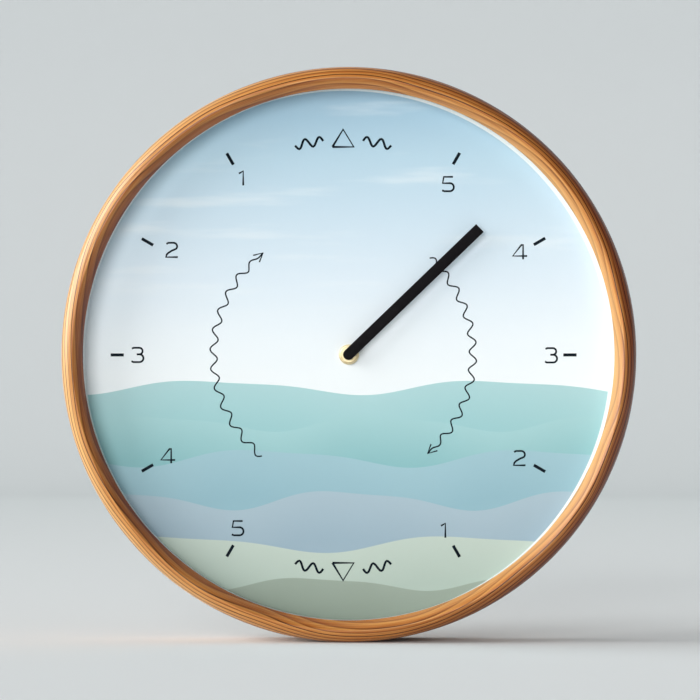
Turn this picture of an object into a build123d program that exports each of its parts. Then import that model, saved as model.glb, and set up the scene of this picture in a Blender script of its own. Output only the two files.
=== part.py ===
from build123d import *
import math
import os

# A tide clock. A turned wooden ring holds a glass, a spacer, a printed dial and a board, and a quartz
# movement behind the board turns one hand once in each lunar tide of 12 hours 25 minutes.
# The clock's axis is Y with the front towards -Y, and Z is up. A level is a distance in front of the
# middle of the ring's depth, a place is (x, z), and all sizes are in millimetres.

# Wooden ring
CASE_RADIUS = 150.0
RIM_WIDTH = 11.5  # front band, from the outer edge to the opening
CREST_INSET = 6.1  # crest of the front, inside the outer edge
SHOULDER_RADIUS = 8.0
CREST_FLAT = 0.5  # land along the crest
SPLAY_DEPTH = 5.0
LIP_EDGE = 1.4
LIP_OVERHANG = 4.4  # how far the lip covers the edge of the glass
BACK_BEVEL = 1.5

# Glass, spacer, dial and board
SEAT_CLEARANCE = 0.3
LENS_THICKNESS = 2.0
SPACER_SETBACK = 0.4  # spacer's bore behind the lip's edge
DIAL_THICKNESS = 0.8
BOARD_THICKNESS = 3.0

# Framer's points in the ring's wall
TAB_COUNT = 8
TAB_FIRST_BEARING = 22.5
TAB_WIDTH = 10.0
TAB_THICKNESS = 0.6
TAB_DRIVE_SHARE = 0.55  # of the ring's wall
TAB_REACH = 7.0
TAB_CLEARANCE = 0.05

# Bush and what it clamps
BUSH_RADIUS = 4.0
BUSH_FLANGE_RADIUS = 6.0
BUSH_FLANGE = 1.0
BUSH_PROUD = 0.6  # end of the bush in front of the nut
BUSH_CLEARANCE = 0.2
GASKET_RADIUS = 7.5
GASKET_THICKNESS = 1.0
WASHER_RADIUS = 5.3
WASHER_THICKNESS = 0.4
NUT_RADIUS = 5.1
NUT_HEIGHT = 2.2
NUT_CHAMFER = 0.5
FIT_GAP = 0.02  # pieces pressed or screwed together

# Hand
HAND_REACH = 95.3  # pivot to tip
HAND_WIDTH = 5.7
HAND_THICKNESS = 0.8
HAND_BEARING = 46.1  # clockwise from the top
COLLET_RADIUS = 2.6
COLLET_LENGTH = 1.4
COLLET_GAP = 0.3
PIPE_RADIUS = 1.75
LENS_GAP = 3.3  # hand to glass

# Gear train: tooth sizes are shares of the module
MODULE = 0.25
PRESSURE_ANGLE = 20.0
WHEEL_TIP_SHARE = 0.45
PINION_TIP_SHARE = 1.0
ROOT_CLEARANCE_SHARE = 0.25
BACKLASH_SHARE = 0.12
PINION_LEAVES = 8
SETTING_LEAVES = 12
TIDE_TEETH = 64
CLUTCH_TEETH = 60
THIRD_TEETH = 60
SECOND_TEETH = 60
FIRST_TEETH = 53
DRIVE_BEARING = 35.0  # each from the axis before it, anticlockwise from +X
THIRD_BEARING = -20.0
SECOND_BEARING = -85.0
FIRST_BEARING = -165.0
ROTOR_BEARING = 185.0
SETTING_BEARING = 150.0
WHEEL_THICKNESS = 0.7
LAYER_GAP = 0.8  # between the wheels of neighbouring layers
PINION_OVERHANG = 0.25
FLANGE_GAP = 0.3
ARBOR_RADIUS = 0.5
RUNNING_CLEARANCE = 0.04
END_SHAKE = 0.1
PIVOT_DEPTH = 0.8
SPRING_RADIUS = 2.2
SPRING_THICKNESS = 0.2
COLLAR_RADIUS = 0.8
COLLAR_THICKNESS = 0.3

# Stepping motor
MAGNET_RADIUS = 3.0
MAGNET_HEIGHT = 2.4
MAGNET_GAP = 0.5
AIR_GAP = 0.4
STATOR_THICKNESS = 1.0
STATOR_RIM = 1.7
STATOR_WIDTH = 5.2
STATOR_FOOT = 3.0
CORE_WIDTH = 2.0
CORE_THICKNESS = 1.0
BOBBIN_WALL = 0.4
BOBBIN_FLANGE = 0.6
BOBBIN_LIP = 0.3  # flange beyond the winding
COIL_RADIUS = 2.6
COIL_LENGTH = 15.0
COIL_GAP = 0.4
POST_RADIUS = 1.2

# Circuit board
PCB_WIDTH = 12.0
PCB_HEIGHT = 14.0
PCB_THICKNESS = 1.0
PCB_GAP = 0.5
CRYSTAL_RADIUS = 1.0
CRYSTAL_LENGTH = 6.0
CHIP_RADIUS = 2.2
CHIP_HEIGHT = 0.9
CHIP_BEVEL = 0.5
PCB_PLACE_SHARE = 0.25  # of the board's width, from its middle to the crystal and to the chip

# AA cell and its contacts
CELL_RADIUS = 7.2
CELL_LENGTH = 50.0
CELL_BEVEL = 0.5
NUB_RADIUS = 2.7
NUB_HEIGHT = 1.2
CELL_CLEARANCE = 0.3
CONTACT_THICKNESS = 0.4
CONTACT_WIDTH = 9.0
CONTACT_BUMP = 0.8
CONTACT_BUMP_RADIUS = 2.0

# Movement housing
HOUSING_WALL = 1.5
HOUSING_CORNER = 3.0
HOUSING_BEVEL = 0.6
FRONT_WALL = 1.4
REAR_WALL = 1.4
PARTITION = 1.2
HOUSING_CLEARANCE = 0.6
SPLIT_SHARE = 0.4  # of the housing's depth, in the front half

# Setting knob
SETTING_ARBOR_RADIUS = 1.0
KNOB_RADIUS = 6.0
KNOB_THICKNESS = 2.6
KNOB_GAP = 0.4
KNOB_FLUTES = 24
FLUTE_DEPTH = 0.35

# Wall hanger
HANGER_WIDTH = 18.0
HANGER_THICKNESS = 1.2
HANGER_BEND = 2.2  # at the middle of the strip
HANGER_FOOT = 9.0
HANGER_GAP = 1.0
KEYHOLE_RADIUS = 4.5
KEYHOLE_SLOT = 4.4
KEYHOLE_RISE = 8.0
KEYHOLE_MARGIN = 4.0
WALL_GAP = 1.2  # knob and hanger in front of the ring's back

os.makedirs("parts", exist_ok=True)


def save(piece, name):
    """Label a finished piece and write it under its name."""
    piece.part.label = name
    export_step(piece.part, f"parts/{name}.step")


def front_plane(level, place=(0, 0), bearing=0):
    """Plane that faces the front at a level, with its X axis turned anticlockwise by a bearing."""
    turn = math.radians(bearing)
    return Plane(
        origin=(place[0], -level, place[1]),
        x_dir=(math.cos(turn), 0, math.sin(turn)),
        z_dir=(0, -1, 0),
    )


def stepped(place, distance, bearing):
    """Place at a distance and bearing from another place."""
    turn = math.radians(bearing)
    return (place[0] + distance * math.cos(turn), place[1] + distance * math.sin(turn))


def mesh_distance(teeth, leaves):
    """Distance between the axes of a wheel and a pinion in mesh."""
    return MODULE * (teeth + leaves) / 2


def mesh_phase(wheel_teeth, leaves, bearing):
    """Turn of a pinion whose leaves fall in the gaps of a wheel with a tooth on +X."""
    turn = math.radians(bearing)
    return turn + math.pi + turn * wheel_teeth / leaves - math.pi / leaves


def involute(angle):
    """Involute function of a pressure angle in radians."""
    return math.tan(angle) - angle


def gear_outline(teeth, tip_share, mate_tip_share, phase=0):
    """Points around a wheel or pinion, one tooth after another."""
    pitch_radius = MODULE * teeth / 2
    base_radius = pitch_radius * math.cos(math.radians(PRESSURE_ANGLE))
    tip_radius = pitch_radius + tip_share * MODULE
    root_radius = pitch_radius - (mate_tip_share + ROOT_CLEARANCE_SHARE) * MODULE
    if root_radius < base_radius:
        radii = [root_radius, base_radius, tip_radius]
    else:
        radii = [root_radius, tip_radius]
    middle = (math.pi / 2 - BACKLASH_SHARE) / teeth + involute(math.radians(PRESSURE_ANGLE))
    flank = []
    for radius in radii:
        pressure = math.acos(min(base_radius / radius, 1))
        flank.append((radius, middle - involute(pressure)))
    points = []
    for tooth in range(teeth):
        centre = phase + 2 * math.pi * tooth / teeth
        sides = [(radius, centre - half) for radius, half in flank]
        sides += [(radius, centre + half) for radius, half in reversed(flank)]
        points += [(radius * math.cos(turn), radius * math.sin(turn)) for radius, turn in sides]
    return points


def wheel_outline(teeth):
    """Outline of a wheel with a tooth on +X."""
    return gear_outline(teeth, WHEEL_TIP_SHARE, PINION_TIP_SHARE)


def pinion_outline(leaves, phase):
    """Outline of a pinion turned by its phase."""
    return gear_outline(leaves, PINION_TIP_SHARE, WHEEL_TIP_SHARE, phase)


def wheel_reach(teeth):
    """Radius over a wheel's teeth."""
    return MODULE * (teeth / 2 + WHEEL_TIP_SHARE)


# Places of the axes
tide_place = (0, 0)
drive_place = stepped(tide_place, mesh_distance(TIDE_TEETH, PINION_LEAVES), DRIVE_BEARING)
third_place = stepped(drive_place, mesh_distance(CLUTCH_TEETH, PINION_LEAVES), THIRD_BEARING)
second_place = stepped(third_place, mesh_distance(THIRD_TEETH, PINION_LEAVES), SECOND_BEARING)
first_place = stepped(second_place, mesh_distance(SECOND_TEETH, PINION_LEAVES), FIRST_BEARING)
rotor_place = stepped(first_place, mesh_distance(FIRST_TEETH, PINION_LEAVES), ROTOR_BEARING)
setting_place = stepped(tide_place, mesh_distance(TIDE_TEETH, SETTING_LEAVES), SETTING_BEARING)
small_arbors = [tide_place, drive_place, third_place, second_place, first_place, rotor_place]
wheels = [
    (tide_place, TIDE_TEETH),
    (drive_place, CLUTCH_TEETH),
    (third_place, THIRD_TEETH),
    (second_place, SECOND_TEETH),
    (first_place, FIRST_TEETH),
]

# Stator and coil in plan
stator_ring_radius = MAGNET_RADIUS + AIR_GAP + STATOR_RIM
bobbin_radius = COIL_RADIUS + BOBBIN_LIP
coil_z = rotor_place[1] - STATOR_WIDTH / 2 - bobbin_radius - COIL_GAP
coil_right = rotor_place[0] - stator_ring_radius - COIL_GAP
coil_left = coil_right - COIL_LENGTH
right_foot_x = coil_right + COIL_GAP + STATOR_FOOT / 2
left_foot_x = coil_left - COIL_GAP - STATOR_FOOT / 2
stator_left = left_foot_x - STATOR_FOOT / 2
stator_top = rotor_place[1] + STATOR_WIDTH / 2
foot_bottom = coil_z - CORE_WIDTH

# Housing in plan, sized by what it holds
cell_room = CELL_LENGTH / 2 + CELL_CLEARANCE + CONTACT_BUMP + CONTACT_THICKNESS
train_right = max(place[0] + wheel_reach(teeth) for place, teeth in wheels)
pcb_left_room = SETTING_ARBOR_RADIUS + PCB_GAP - setting_place[0] + PCB_WIDTH + PCB_GAP
inner_half_width = max(
    cell_room,
    train_right + HOUSING_CLEARANCE,
    HOUSING_CLEARANCE - stator_left,
    pcb_left_room,
)
pcb_left = PCB_GAP - inner_half_width
pcb_bottom = stator_top + PCB_GAP
room_top = HOUSING_CLEARANCE + max(
    max(place[1] + wheel_reach(teeth) for place, teeth in wheels),
    pcb_bottom + PCB_HEIGHT,
    setting_place[1] + KNOB_RADIUS,
)
room_floor = min(
    min(place[1] - wheel_reach(teeth) for place, teeth in wheels),
    coil_z - bobbin_radius,
    foot_bottom,
) - HOUSING_CLEARANCE
bay_top = room_floor - PARTITION
cell_z = bay_top - CELL_CLEARANCE - CELL_RADIUS
bay_floor = cell_z - CELL_RADIUS - CELL_CLEARANCE
housing_top = room_top + HOUSING_WALL
housing_bottom = bay_floor - HOUSING_WALL
housing_width = 2 * (inner_half_width + HOUSING_WALL)

# Depths inside the housing, from the inner face of its front wall
layer_pitch = WHEEL_THICKNESS + LAYER_GAP
tide_front_depth = BUSH_FLANGE + FLANGE_GAP
first_back_depth = tide_front_depth + layer_pitch * (len(wheels) - 1) + WHEEL_THICKNESS
magnet_front_depth = first_back_depth + MAGNET_GAP
stator_front_depth = magnet_front_depth + (MAGNET_HEIGHT - STATOR_THICKNESS) / 2
core_front_depth = stator_front_depth + STATOR_THICKNESS
core_middle_depth = core_front_depth + CORE_THICKNESS / 2
room_depth = max(
    core_middle_depth + bobbin_radius + COIL_GAP,
    2 * (CELL_RADIUS + CELL_CLEARANCE) - REAR_WALL,
)
housing_depth = FRONT_WALL + room_depth + REAR_WALL

# Depth of the whole clock, as a stack from the crest to the back
nut_stack = WASHER_THICKNESS + NUT_HEIGHT + BUSH_PROUD
spacer_depth = nut_stack + COLLET_GAP + COLLET_LENGTH + HAND_THICKNESS + LENS_GAP
case_depth = (
    SPLAY_DEPTH
    + LIP_EDGE
    + LENS_THICKNESS
    + spacer_depth
    + DIAL_THICKNESS
    + BOARD_THICKNESS
    + GASKET_THICKNESS
    + HANGER_THICKNESS
    + housing_depth
    + KNOB_GAP
    + KNOB_THICKNESS
    + WALL_GAP
)
front_level = case_depth / 2
back_level = -case_depth / 2
lip_front = front_level - SPLAY_DEPTH
lens_front = lip_front - LIP_EDGE
lens_back = lens_front - LENS_THICKNESS
dial_front = lens_back - spacer_depth
dial_back = dial_front - DIAL_THICKNESS
board_back = dial_back - BOARD_THICKNESS
gasket_back = board_back - GASKET_THICKNESS
housing_front = gasket_back - HANGER_THICKNESS
room_front = housing_front - FRONT_WALL
room_back = room_front - room_depth
housing_back = room_back - REAR_WALL
split_level = housing_front - housing_depth * SPLIT_SHARE
bush_front = dial_front + nut_stack
collet_back = bush_front + COLLET_GAP
hand_back = collet_back + COLLET_LENGTH
tide_front = room_front - tide_front_depth
clutch_front = tide_front - layer_pitch
third_front = clutch_front - layer_pitch
second_front = third_front - layer_pitch
first_front = second_front - layer_pitch
magnet_front = room_front - magnet_front_depth
stator_front = room_front - stator_front_depth
core_front = room_front - core_front_depth
core_middle = room_front - core_middle_depth
pivot_front = room_front + PIVOT_DEPTH - END_SHAKE
pivot_back = room_back - PIVOT_DEPTH + END_SHAKE
knob_back = housing_back - KNOB_GAP - KNOB_THICKNESS
cell_level = room_front - CELL_CLEARANCE - CELL_RADIUS

# Radii of the ring and its discs
opening_radius = CASE_RADIUS - RIM_WIDTH
crest_radius = CASE_RADIUS - CREST_INSET
rebate_radius = opening_radius + LIP_OVERHANG
seat_radius = rebate_radius - SEAT_CLEARANCE
bush_hole_radius = BUSH_RADIUS + BUSH_CLEARANCE
tab_bearings = [TAB_FIRST_BEARING + 360 * tab / TAB_COUNT for tab in range(TAB_COUNT)]
tab_drive = TAB_DRIVE_SHARE * (CASE_RADIUS - rebate_radius)

# Wooden ring
shoulder_turn = math.degrees(math.acos((SHOULDER_RADIUS - CREST_INSET) / SHOULDER_RADIUS))
shoulder_rise = SHOULDER_RADIUS * math.sin(math.radians(shoulder_turn))
with BuildPart() as case_ring:
    with BuildSketch(Plane.XY):
        with BuildLine():
            Polyline(
                (opening_radius, -lip_front),
                (crest_radius - CREST_FLAT, -front_level),
                (crest_radius, -front_level),
            )
            shoulder = CenterArc(
                (CASE_RADIUS - SHOULDER_RADIUS, shoulder_rise - front_level),
                SHOULDER_RADIUS,
                -shoulder_turn,
                shoulder_turn,
            )
            Polyline(
                shoulder @ 1,
                (CASE_RADIUS, -back_level),
                (rebate_radius, -back_level),
                (rebate_radius, -lens_front),
                (opening_radius, -lens_front),
                (opening_radius, -lip_front),
            )
        make_face()
    revolve(axis=Axis.Y)
    back_edges = case_ring.edges().filter_by(GeomType.CIRCLE).group_by(Axis.Y)[-1]
    chamfer(back_edges.sort_by(SortBy.RADIUS)[-1], BACK_BEVEL)
    for bearing in tab_bearings:
        slot_plane = front_plane(board_back - TAB_THICKNESS - TAB_CLEARANCE, bearing=bearing)
        with BuildSketch(slot_plane):
            with Locations((rebate_radius, 0)):
                Rectangle(2 * (tab_drive + TAB_CLEARANCE), TAB_WIDTH + 2 * TAB_CLEARANCE)
        extrude(amount=TAB_THICKNESS + 2 * TAB_CLEARANCE, mode=Mode.SUBTRACT)
save(case_ring, "case_ring")

# Framer's points, driven into the ring against the back of the board
with BuildPart() as retaining_tabs:
    for bearing in tab_bearings:
        with BuildSketch(front_plane(board_back - TAB_THICKNESS, bearing=bearing)):
            with Locations((rebate_radius - TAB_REACH, 0)):
                Rectangle(TAB_REACH + tab_drive, TAB_WIDTH, align=(Align.MIN, Align.CENTER))
        extrude(amount=TAB_THICKNESS)
save(retaining_tabs, "retaining_tabs")

# Glass
with BuildPart() as lens:
    with BuildSketch(front_plane(lens_back)):
        Circle(seat_radius)
    extrude(amount=LENS_THICKNESS)
save(lens, "lens")

# Spacer between the glass and the dial
with BuildPart() as spacer_ring:
    with BuildSketch(front_plane(dial_front)):
        Circle(seat_radius)
        Circle(opening_radius + SPACER_SETBACK, mode=Mode.SUBTRACT)
    extrude(amount=spacer_depth)
save(spacer_ring, "spacer_ring")

# Dial card
with BuildPart() as dial:
    with BuildSketch(front_plane(dial_back)):
        Circle(seat_radius)
        Circle(bush_hole_radius, mode=Mode.SUBTRACT)
    extrude(amount=DIAL_THICKNESS)
save(dial, "dial")

# Board behind the dial
with BuildPart() as dial_board:
    with BuildSketch(front_plane(board_back)):
        Circle(seat_radius)
        Circle(bush_hole_radius, mode=Mode.SUBTRACT)
    extrude(amount=BOARD_THICKNESS)
save(dial_board, "dial_board")

# Threaded bush, with a flange inside the housing
with BuildPart() as threaded_bush:
    with BuildSketch(front_plane(room_front - BUSH_FLANGE)):
        Circle(BUSH_RADIUS)
    extrude(amount=bush_front - room_front + BUSH_FLANGE)
    with BuildSketch(front_plane(room_front - BUSH_FLANGE)):
        Circle(BUSH_FLANGE_RADIUS)
    extrude(amount=BUSH_FLANGE)
    with BuildSketch(front_plane(room_front - BUSH_FLANGE)):
        Circle(PIPE_RADIUS + RUNNING_CLEARANCE)
    extrude(amount=bush_front - room_front + BUSH_FLANGE, mode=Mode.SUBTRACT)
save(threaded_bush, "threaded_bush")

# Rubber gasket between the board and the hanger
with BuildPart() as bush_gasket:
    with BuildSketch(front_plane(gasket_back)):
        Circle(GASKET_RADIUS)
        Circle(bush_hole_radius, mode=Mode.SUBTRACT)
    extrude(amount=GASKET_THICKNESS)
save(bush_gasket, "bush_gasket")

# Washer on the dial
with BuildPart() as dial_washer:
    with BuildSketch(front_plane(dial_front)):
        Circle(WASHER_RADIUS)
        Circle(bush_hole_radius, mode=Mode.SUBTRACT)
    extrude(amount=WASHER_THICKNESS)
save(dial_washer, "dial_washer")

# Round nut that clamps the movement to the dial
with BuildPart() as bush_nut:
    with BuildSketch(front_plane(dial_front + WASHER_THICKNESS)):
        Circle(NUT_RADIUS)
        Circle(BUSH_RADIUS + FIT_GAP, mode=Mode.SUBTRACT)
    extrude(amount=NUT_HEIGHT)
    nut_front_edges = bush_nut.edges().filter_by(GeomType.CIRCLE).group_by(Axis.Y)[0]
    chamfer(nut_front_edges.sort_by(SortBy.RADIUS)[-1], NUT_CHAMFER)
save(bush_nut, "bush_nut")

# Hand, with a round tail on the pivot and a square tip
with BuildPart() as tide_hand:
    with BuildSketch(front_plane(hand_back, bearing=90 - HAND_BEARING)):
        Circle(HAND_WIDTH / 2)
        Rectangle(HAND_REACH, HAND_WIDTH, align=(Align.MIN, Align.CENTER))
    extrude(amount=HAND_THICKNESS)
save(tide_hand, "tide_hand")

# Collet behind the hand
with BuildPart() as hand_collet:
    with BuildSketch(front_plane(collet_back)):
        Circle(COLLET_RADIUS)
        Circle(PIPE_RADIUS + FIT_GAP, mode=Mode.SUBTRACT)
    extrude(amount=COLLET_LENGTH)
save(hand_collet, "hand_collet")

# Tide wheel with the pipe that carries the hand
with BuildPart() as tide_wheel:
    with BuildSketch(front_plane(tide_front - WHEEL_THICKNESS)):
        with BuildLine():
            Polyline(*wheel_outline(TIDE_TEETH), close=True)
        make_face()
    extrude(amount=WHEEL_THICKNESS)
    with BuildSketch(front_plane(tide_front)):
        Circle(PIPE_RADIUS)
    extrude(amount=hand_back - FIT_GAP - tide_front)
    with BuildSketch(front_plane(pivot_back)):
        Circle(ARBOR_RADIUS)
    extrude(amount=tide_front - pivot_back)
save(tide_wheel, "tide_wheel")

# Drive arbor: its leaves stop against the clutch wheel, and a collar backs the clutch spring
drive_phase = mesh_phase(TIDE_TEETH, PINION_LEAVES, DRIVE_BEARING)
spring_front = clutch_front - WHEEL_THICKNESS
collar_front = spring_front - SPRING_THICKNESS
with BuildPart() as drive_arbor:
    with BuildSketch(front_plane(pivot_back, drive_place)):
        Circle(ARBOR_RADIUS)
    extrude(amount=pivot_front - pivot_back)
    with BuildSketch(front_plane(clutch_front, drive_place)):
        with BuildLine():
            Polyline(*pinion_outline(PINION_LEAVES, drive_phase), close=True)
        make_face()
    extrude(amount=tide_front + PINION_OVERHANG - clutch_front)
    with BuildSketch(front_plane(collar_front - COLLAR_THICKNESS, drive_place)):
        Circle(COLLAR_RADIUS)
    extrude(amount=COLLAR_THICKNESS)
save(drive_arbor, "drive_arbor")

# Clutch wheel, which slips on the drive arbor when the hand is set
with BuildPart() as clutch_wheel:
    with BuildSketch(front_plane(spring_front, drive_place)):
        with BuildLine():
            Polyline(*wheel_outline(CLUTCH_TEETH), close=True)
        make_face()
        Circle(ARBOR_RADIUS + RUNNING_CLEARANCE, mode=Mode.SUBTRACT)
    extrude(amount=WHEEL_THICKNESS)
save(clutch_wheel, "clutch_wheel")

# Spring washer that presses the clutch wheel against the drive pinion
with BuildPart() as clutch_spring:
    with BuildSketch(front_plane(collar_front, drive_place)):
        Circle(SPRING_RADIUS)
        Circle(ARBOR_RADIUS + FIT_GAP, mode=Mode.SUBTRACT)
    extrude(amount=SPRING_THICKNESS)
save(clutch_spring, "clutch_spring")


def geared_arbor(place, teeth, wheel_front, mate_teeth, mate_front, bearing):
    """Wheel, arbor and pinion in one, with the pinion in mesh with the wheel in front of it."""
    phase = mesh_phase(mate_teeth, PINION_LEAVES, bearing)
    with BuildPart() as piece:
        with BuildSketch(front_plane(pivot_back, place)):
            Circle(ARBOR_RADIUS)
        extrude(amount=pivot_front - pivot_back)
        with BuildSketch(front_plane(wheel_front - WHEEL_THICKNESS, place)):
            with BuildLine():
                Polyline(*wheel_outline(teeth), close=True)
            make_face()
        extrude(amount=WHEEL_THICKNESS)
        with BuildSketch(front_plane(wheel_front, place)):
            with BuildLine():
                Polyline(*pinion_outline(PINION_LEAVES, phase), close=True)
            make_face()
        extrude(amount=mate_front + PINION_OVERHANG - wheel_front)
    return piece


# Going train
third_wheel = geared_arbor(
    third_place, THIRD_TEETH, third_front, CLUTCH_TEETH, clutch_front, THIRD_BEARING
)
save(third_wheel, "third_wheel")
second_wheel = geared_arbor(
    second_place, SECOND_TEETH, second_front, THIRD_TEETH, third_front, SECOND_BEARING
)
save(second_wheel, "second_wheel")
first_wheel = geared_arbor(
    first_place, FIRST_TEETH, first_front, SECOND_TEETH, second_front, FIRST_BEARING
)
save(first_wheel, "first_wheel")

# Rotor's arbor and pinion
rotor_phase = mesh_phase(FIRST_TEETH, PINION_LEAVES, ROTOR_BEARING)
with BuildPart() as rotor_pinion:
    with BuildSketch(front_plane(pivot_back, rotor_place)):
        Circle(ARBOR_RADIUS)
    extrude(amount=pivot_front - pivot_back)
    with BuildSketch(front_plane(magnet_front, rotor_place)):
        with BuildLine():
            Polyline(*pinion_outline(PINION_LEAVES, rotor_phase), close=True)
        make_face()
    extrude(amount=first_front + PINION_OVERHANG - magnet_front)
save(rotor_pinion, "rotor_pinion")

# Rotor's magnet
with BuildPart() as rotor_magnet:
    with BuildSketch(front_plane(magnet_front - MAGNET_HEIGHT, rotor_place)):
        Circle(MAGNET_RADIUS)
        Circle(ARBOR_RADIUS + FIT_GAP, mode=Mode.SUBTRACT)
    extrude(amount=MAGNET_HEIGHT)
save(rotor_magnet, "rotor_magnet")

# Stator: a strip with a ring around the magnet and two feet for the core
foot_height = stator_top - foot_bottom
with BuildPart() as stator:
    with BuildSketch(front_plane(core_front)):
        with Locations((stator_left, rotor_place[1])):
            strip_length = rotor_place[0] - stator_left
            Rectangle(strip_length, STATOR_WIDTH, align=(Align.MIN, Align.CENTER))
        with Locations((left_foot_x, foot_bottom), (right_foot_x, foot_bottom)):
            Rectangle(STATOR_FOOT, foot_height, align=(Align.CENTER, Align.MIN))
        with Locations(rotor_place):
            Circle(stator_ring_radius)
            Circle(MAGNET_RADIUS + AIR_GAP, mode=Mode.SUBTRACT)
    extrude(amount=STATOR_THICKNESS)
save(stator, "stator")

# Core bar on the stator's feet
core_length = right_foot_x - left_foot_x + STATOR_FOOT
with BuildPart() as coil_core:
    with BuildSketch(front_plane(core_front - CORE_THICKNESS)):
        with Locations((stator_left, coil_z)):
            Rectangle(core_length, CORE_WIDTH, align=(Align.MIN, Align.CENTER))
    extrude(amount=CORE_THICKNESS)
save(coil_core, "coil_core")

# Bobbin on the core
bobbin_tube_radius = math.hypot(CORE_WIDTH, CORE_THICKNESS) / 2 + BOBBIN_WALL
coil_plane = Plane(origin=(coil_left, -core_middle, coil_z), x_dir=(0, 1, 0), z_dir=(1, 0, 0))
flange_plane = coil_plane.offset(COIL_LENGTH - BOBBIN_FLANGE)
with BuildPart() as coil_bobbin:
    with BuildSketch(coil_plane):
        Circle(bobbin_tube_radius)
    extrude(amount=COIL_LENGTH)
    with BuildSketch(coil_plane, flange_plane):
        Circle(bobbin_radius)
    extrude(amount=BOBBIN_FLANGE)
    with BuildSketch(coil_plane):
        Rectangle(CORE_THICKNESS + 2 * FIT_GAP, CORE_WIDTH + 2 * FIT_GAP)
    extrude(amount=COIL_LENGTH, mode=Mode.SUBTRACT)
save(coil_bobbin, "coil_bobbin")

# Copper winding
winding_length = COIL_LENGTH - 2 * (BOBBIN_FLANGE + FIT_GAP)
with BuildPart() as coil_winding:
    with BuildSketch(coil_plane.offset(BOBBIN_FLANGE + FIT_GAP)):
        Circle(COIL_RADIUS)
        Circle(bobbin_tube_radius + FIT_GAP, mode=Mode.SUBTRACT)
    extrude(amount=winding_length)
save(coil_winding, "coil_winding")

# Circuit board on the inner face of the front wall
pcb_back = room_front - PCB_THICKNESS
pcb_middle = (pcb_left + PCB_WIDTH / 2, pcb_bottom + PCB_HEIGHT / 2)
with BuildPart() as circuit_board:
    with BuildSketch(front_plane(pcb_back, pcb_middle)):
        Rectangle(PCB_WIDTH, PCB_HEIGHT)
    extrude(amount=PCB_THICKNESS)
save(circuit_board, "circuit_board")

# Driver chip under its drop of epoxy
chip_place = (pcb_middle[0] + PCB_PLACE_SHARE * PCB_WIDTH, pcb_middle[1])
with BuildPart() as driver_chip:
    with BuildSketch(front_plane(pcb_back - CHIP_HEIGHT, chip_place)):
        Circle(CHIP_RADIUS)
    extrude(amount=CHIP_HEIGHT)
    chip_edges = driver_chip.edges().filter_by(GeomType.CIRCLE).group_by(Axis.Y)[-1]
    chamfer(chip_edges, CHIP_BEVEL)
save(driver_chip, "driver_chip")

# Crystal can, lying on the circuit board
crystal_x = pcb_middle[0] - PCB_PLACE_SHARE * PCB_WIDTH
crystal_plane = Plane(
    origin=(crystal_x, CRYSTAL_RADIUS - pcb_back, pcb_middle[1] - CRYSTAL_LENGTH / 2),
    x_dir=(1, 0, 0),
    z_dir=(0, 0, 1),
)
with BuildPart() as quartz_crystal:
    with BuildSketch(crystal_plane):
        Circle(CRYSTAL_RADIUS)
    extrude(amount=CRYSTAL_LENGTH)
save(quartz_crystal, "quartz_crystal")

# AA cell, button end to the right
cell_plane = Plane(origin=(-CELL_LENGTH / 2, -cell_level, cell_z), x_dir=(0, 1, 0), z_dir=(1, 0, 0))
with BuildPart() as battery_cell:
    with BuildSketch(cell_plane):
        Circle(CELL_RADIUS)
    extrude(amount=CELL_LENGTH - NUB_HEIGHT)
    chamfer(battery_cell.edges().filter_by(GeomType.CIRCLE), CELL_BEVEL)
    with BuildSketch(cell_plane.offset(CELL_LENGTH - NUB_HEIGHT)):
        Circle(NUB_RADIUS)
    extrude(amount=NUB_HEIGHT)
save(battery_cell, "battery_cell")

# Battery contacts on the end walls of the bay
contact_bump = inner_half_width - CONTACT_THICKNESS - CELL_LENGTH / 2 - CELL_CLEARANCE
positive_plane = Plane(origin=(inner_half_width, -cell_level, cell_z), x_dir=(0, 1, 0), z_dir=(-1, 0, 0))
with BuildPart() as contact_positive:
    with BuildSketch(positive_plane):
        Rectangle(CONTACT_WIDTH, CONTACT_WIDTH)
    extrude(amount=CONTACT_THICKNESS)
    with BuildSketch(positive_plane):
        Circle(CONTACT_BUMP_RADIUS)
    extrude(amount=CONTACT_THICKNESS + contact_bump)
save(contact_positive, "contact_positive")
negative_plane = Plane(origin=(-inner_half_width, -cell_level, cell_z), x_dir=(0, 1, 0), z_dir=(1, 0, 0))
with BuildPart() as contact_negative:
    with BuildSketch(negative_plane):
        Rectangle(CONTACT_WIDTH, CONTACT_WIDTH)
    extrude(amount=CONTACT_THICKNESS)
    with BuildSketch(negative_plane):
        Circle(CONTACT_BUMP_RADIUS)
    extrude(amount=CONTACT_THICKNESS + contact_bump)
save(contact_negative, "contact_negative")

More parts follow.
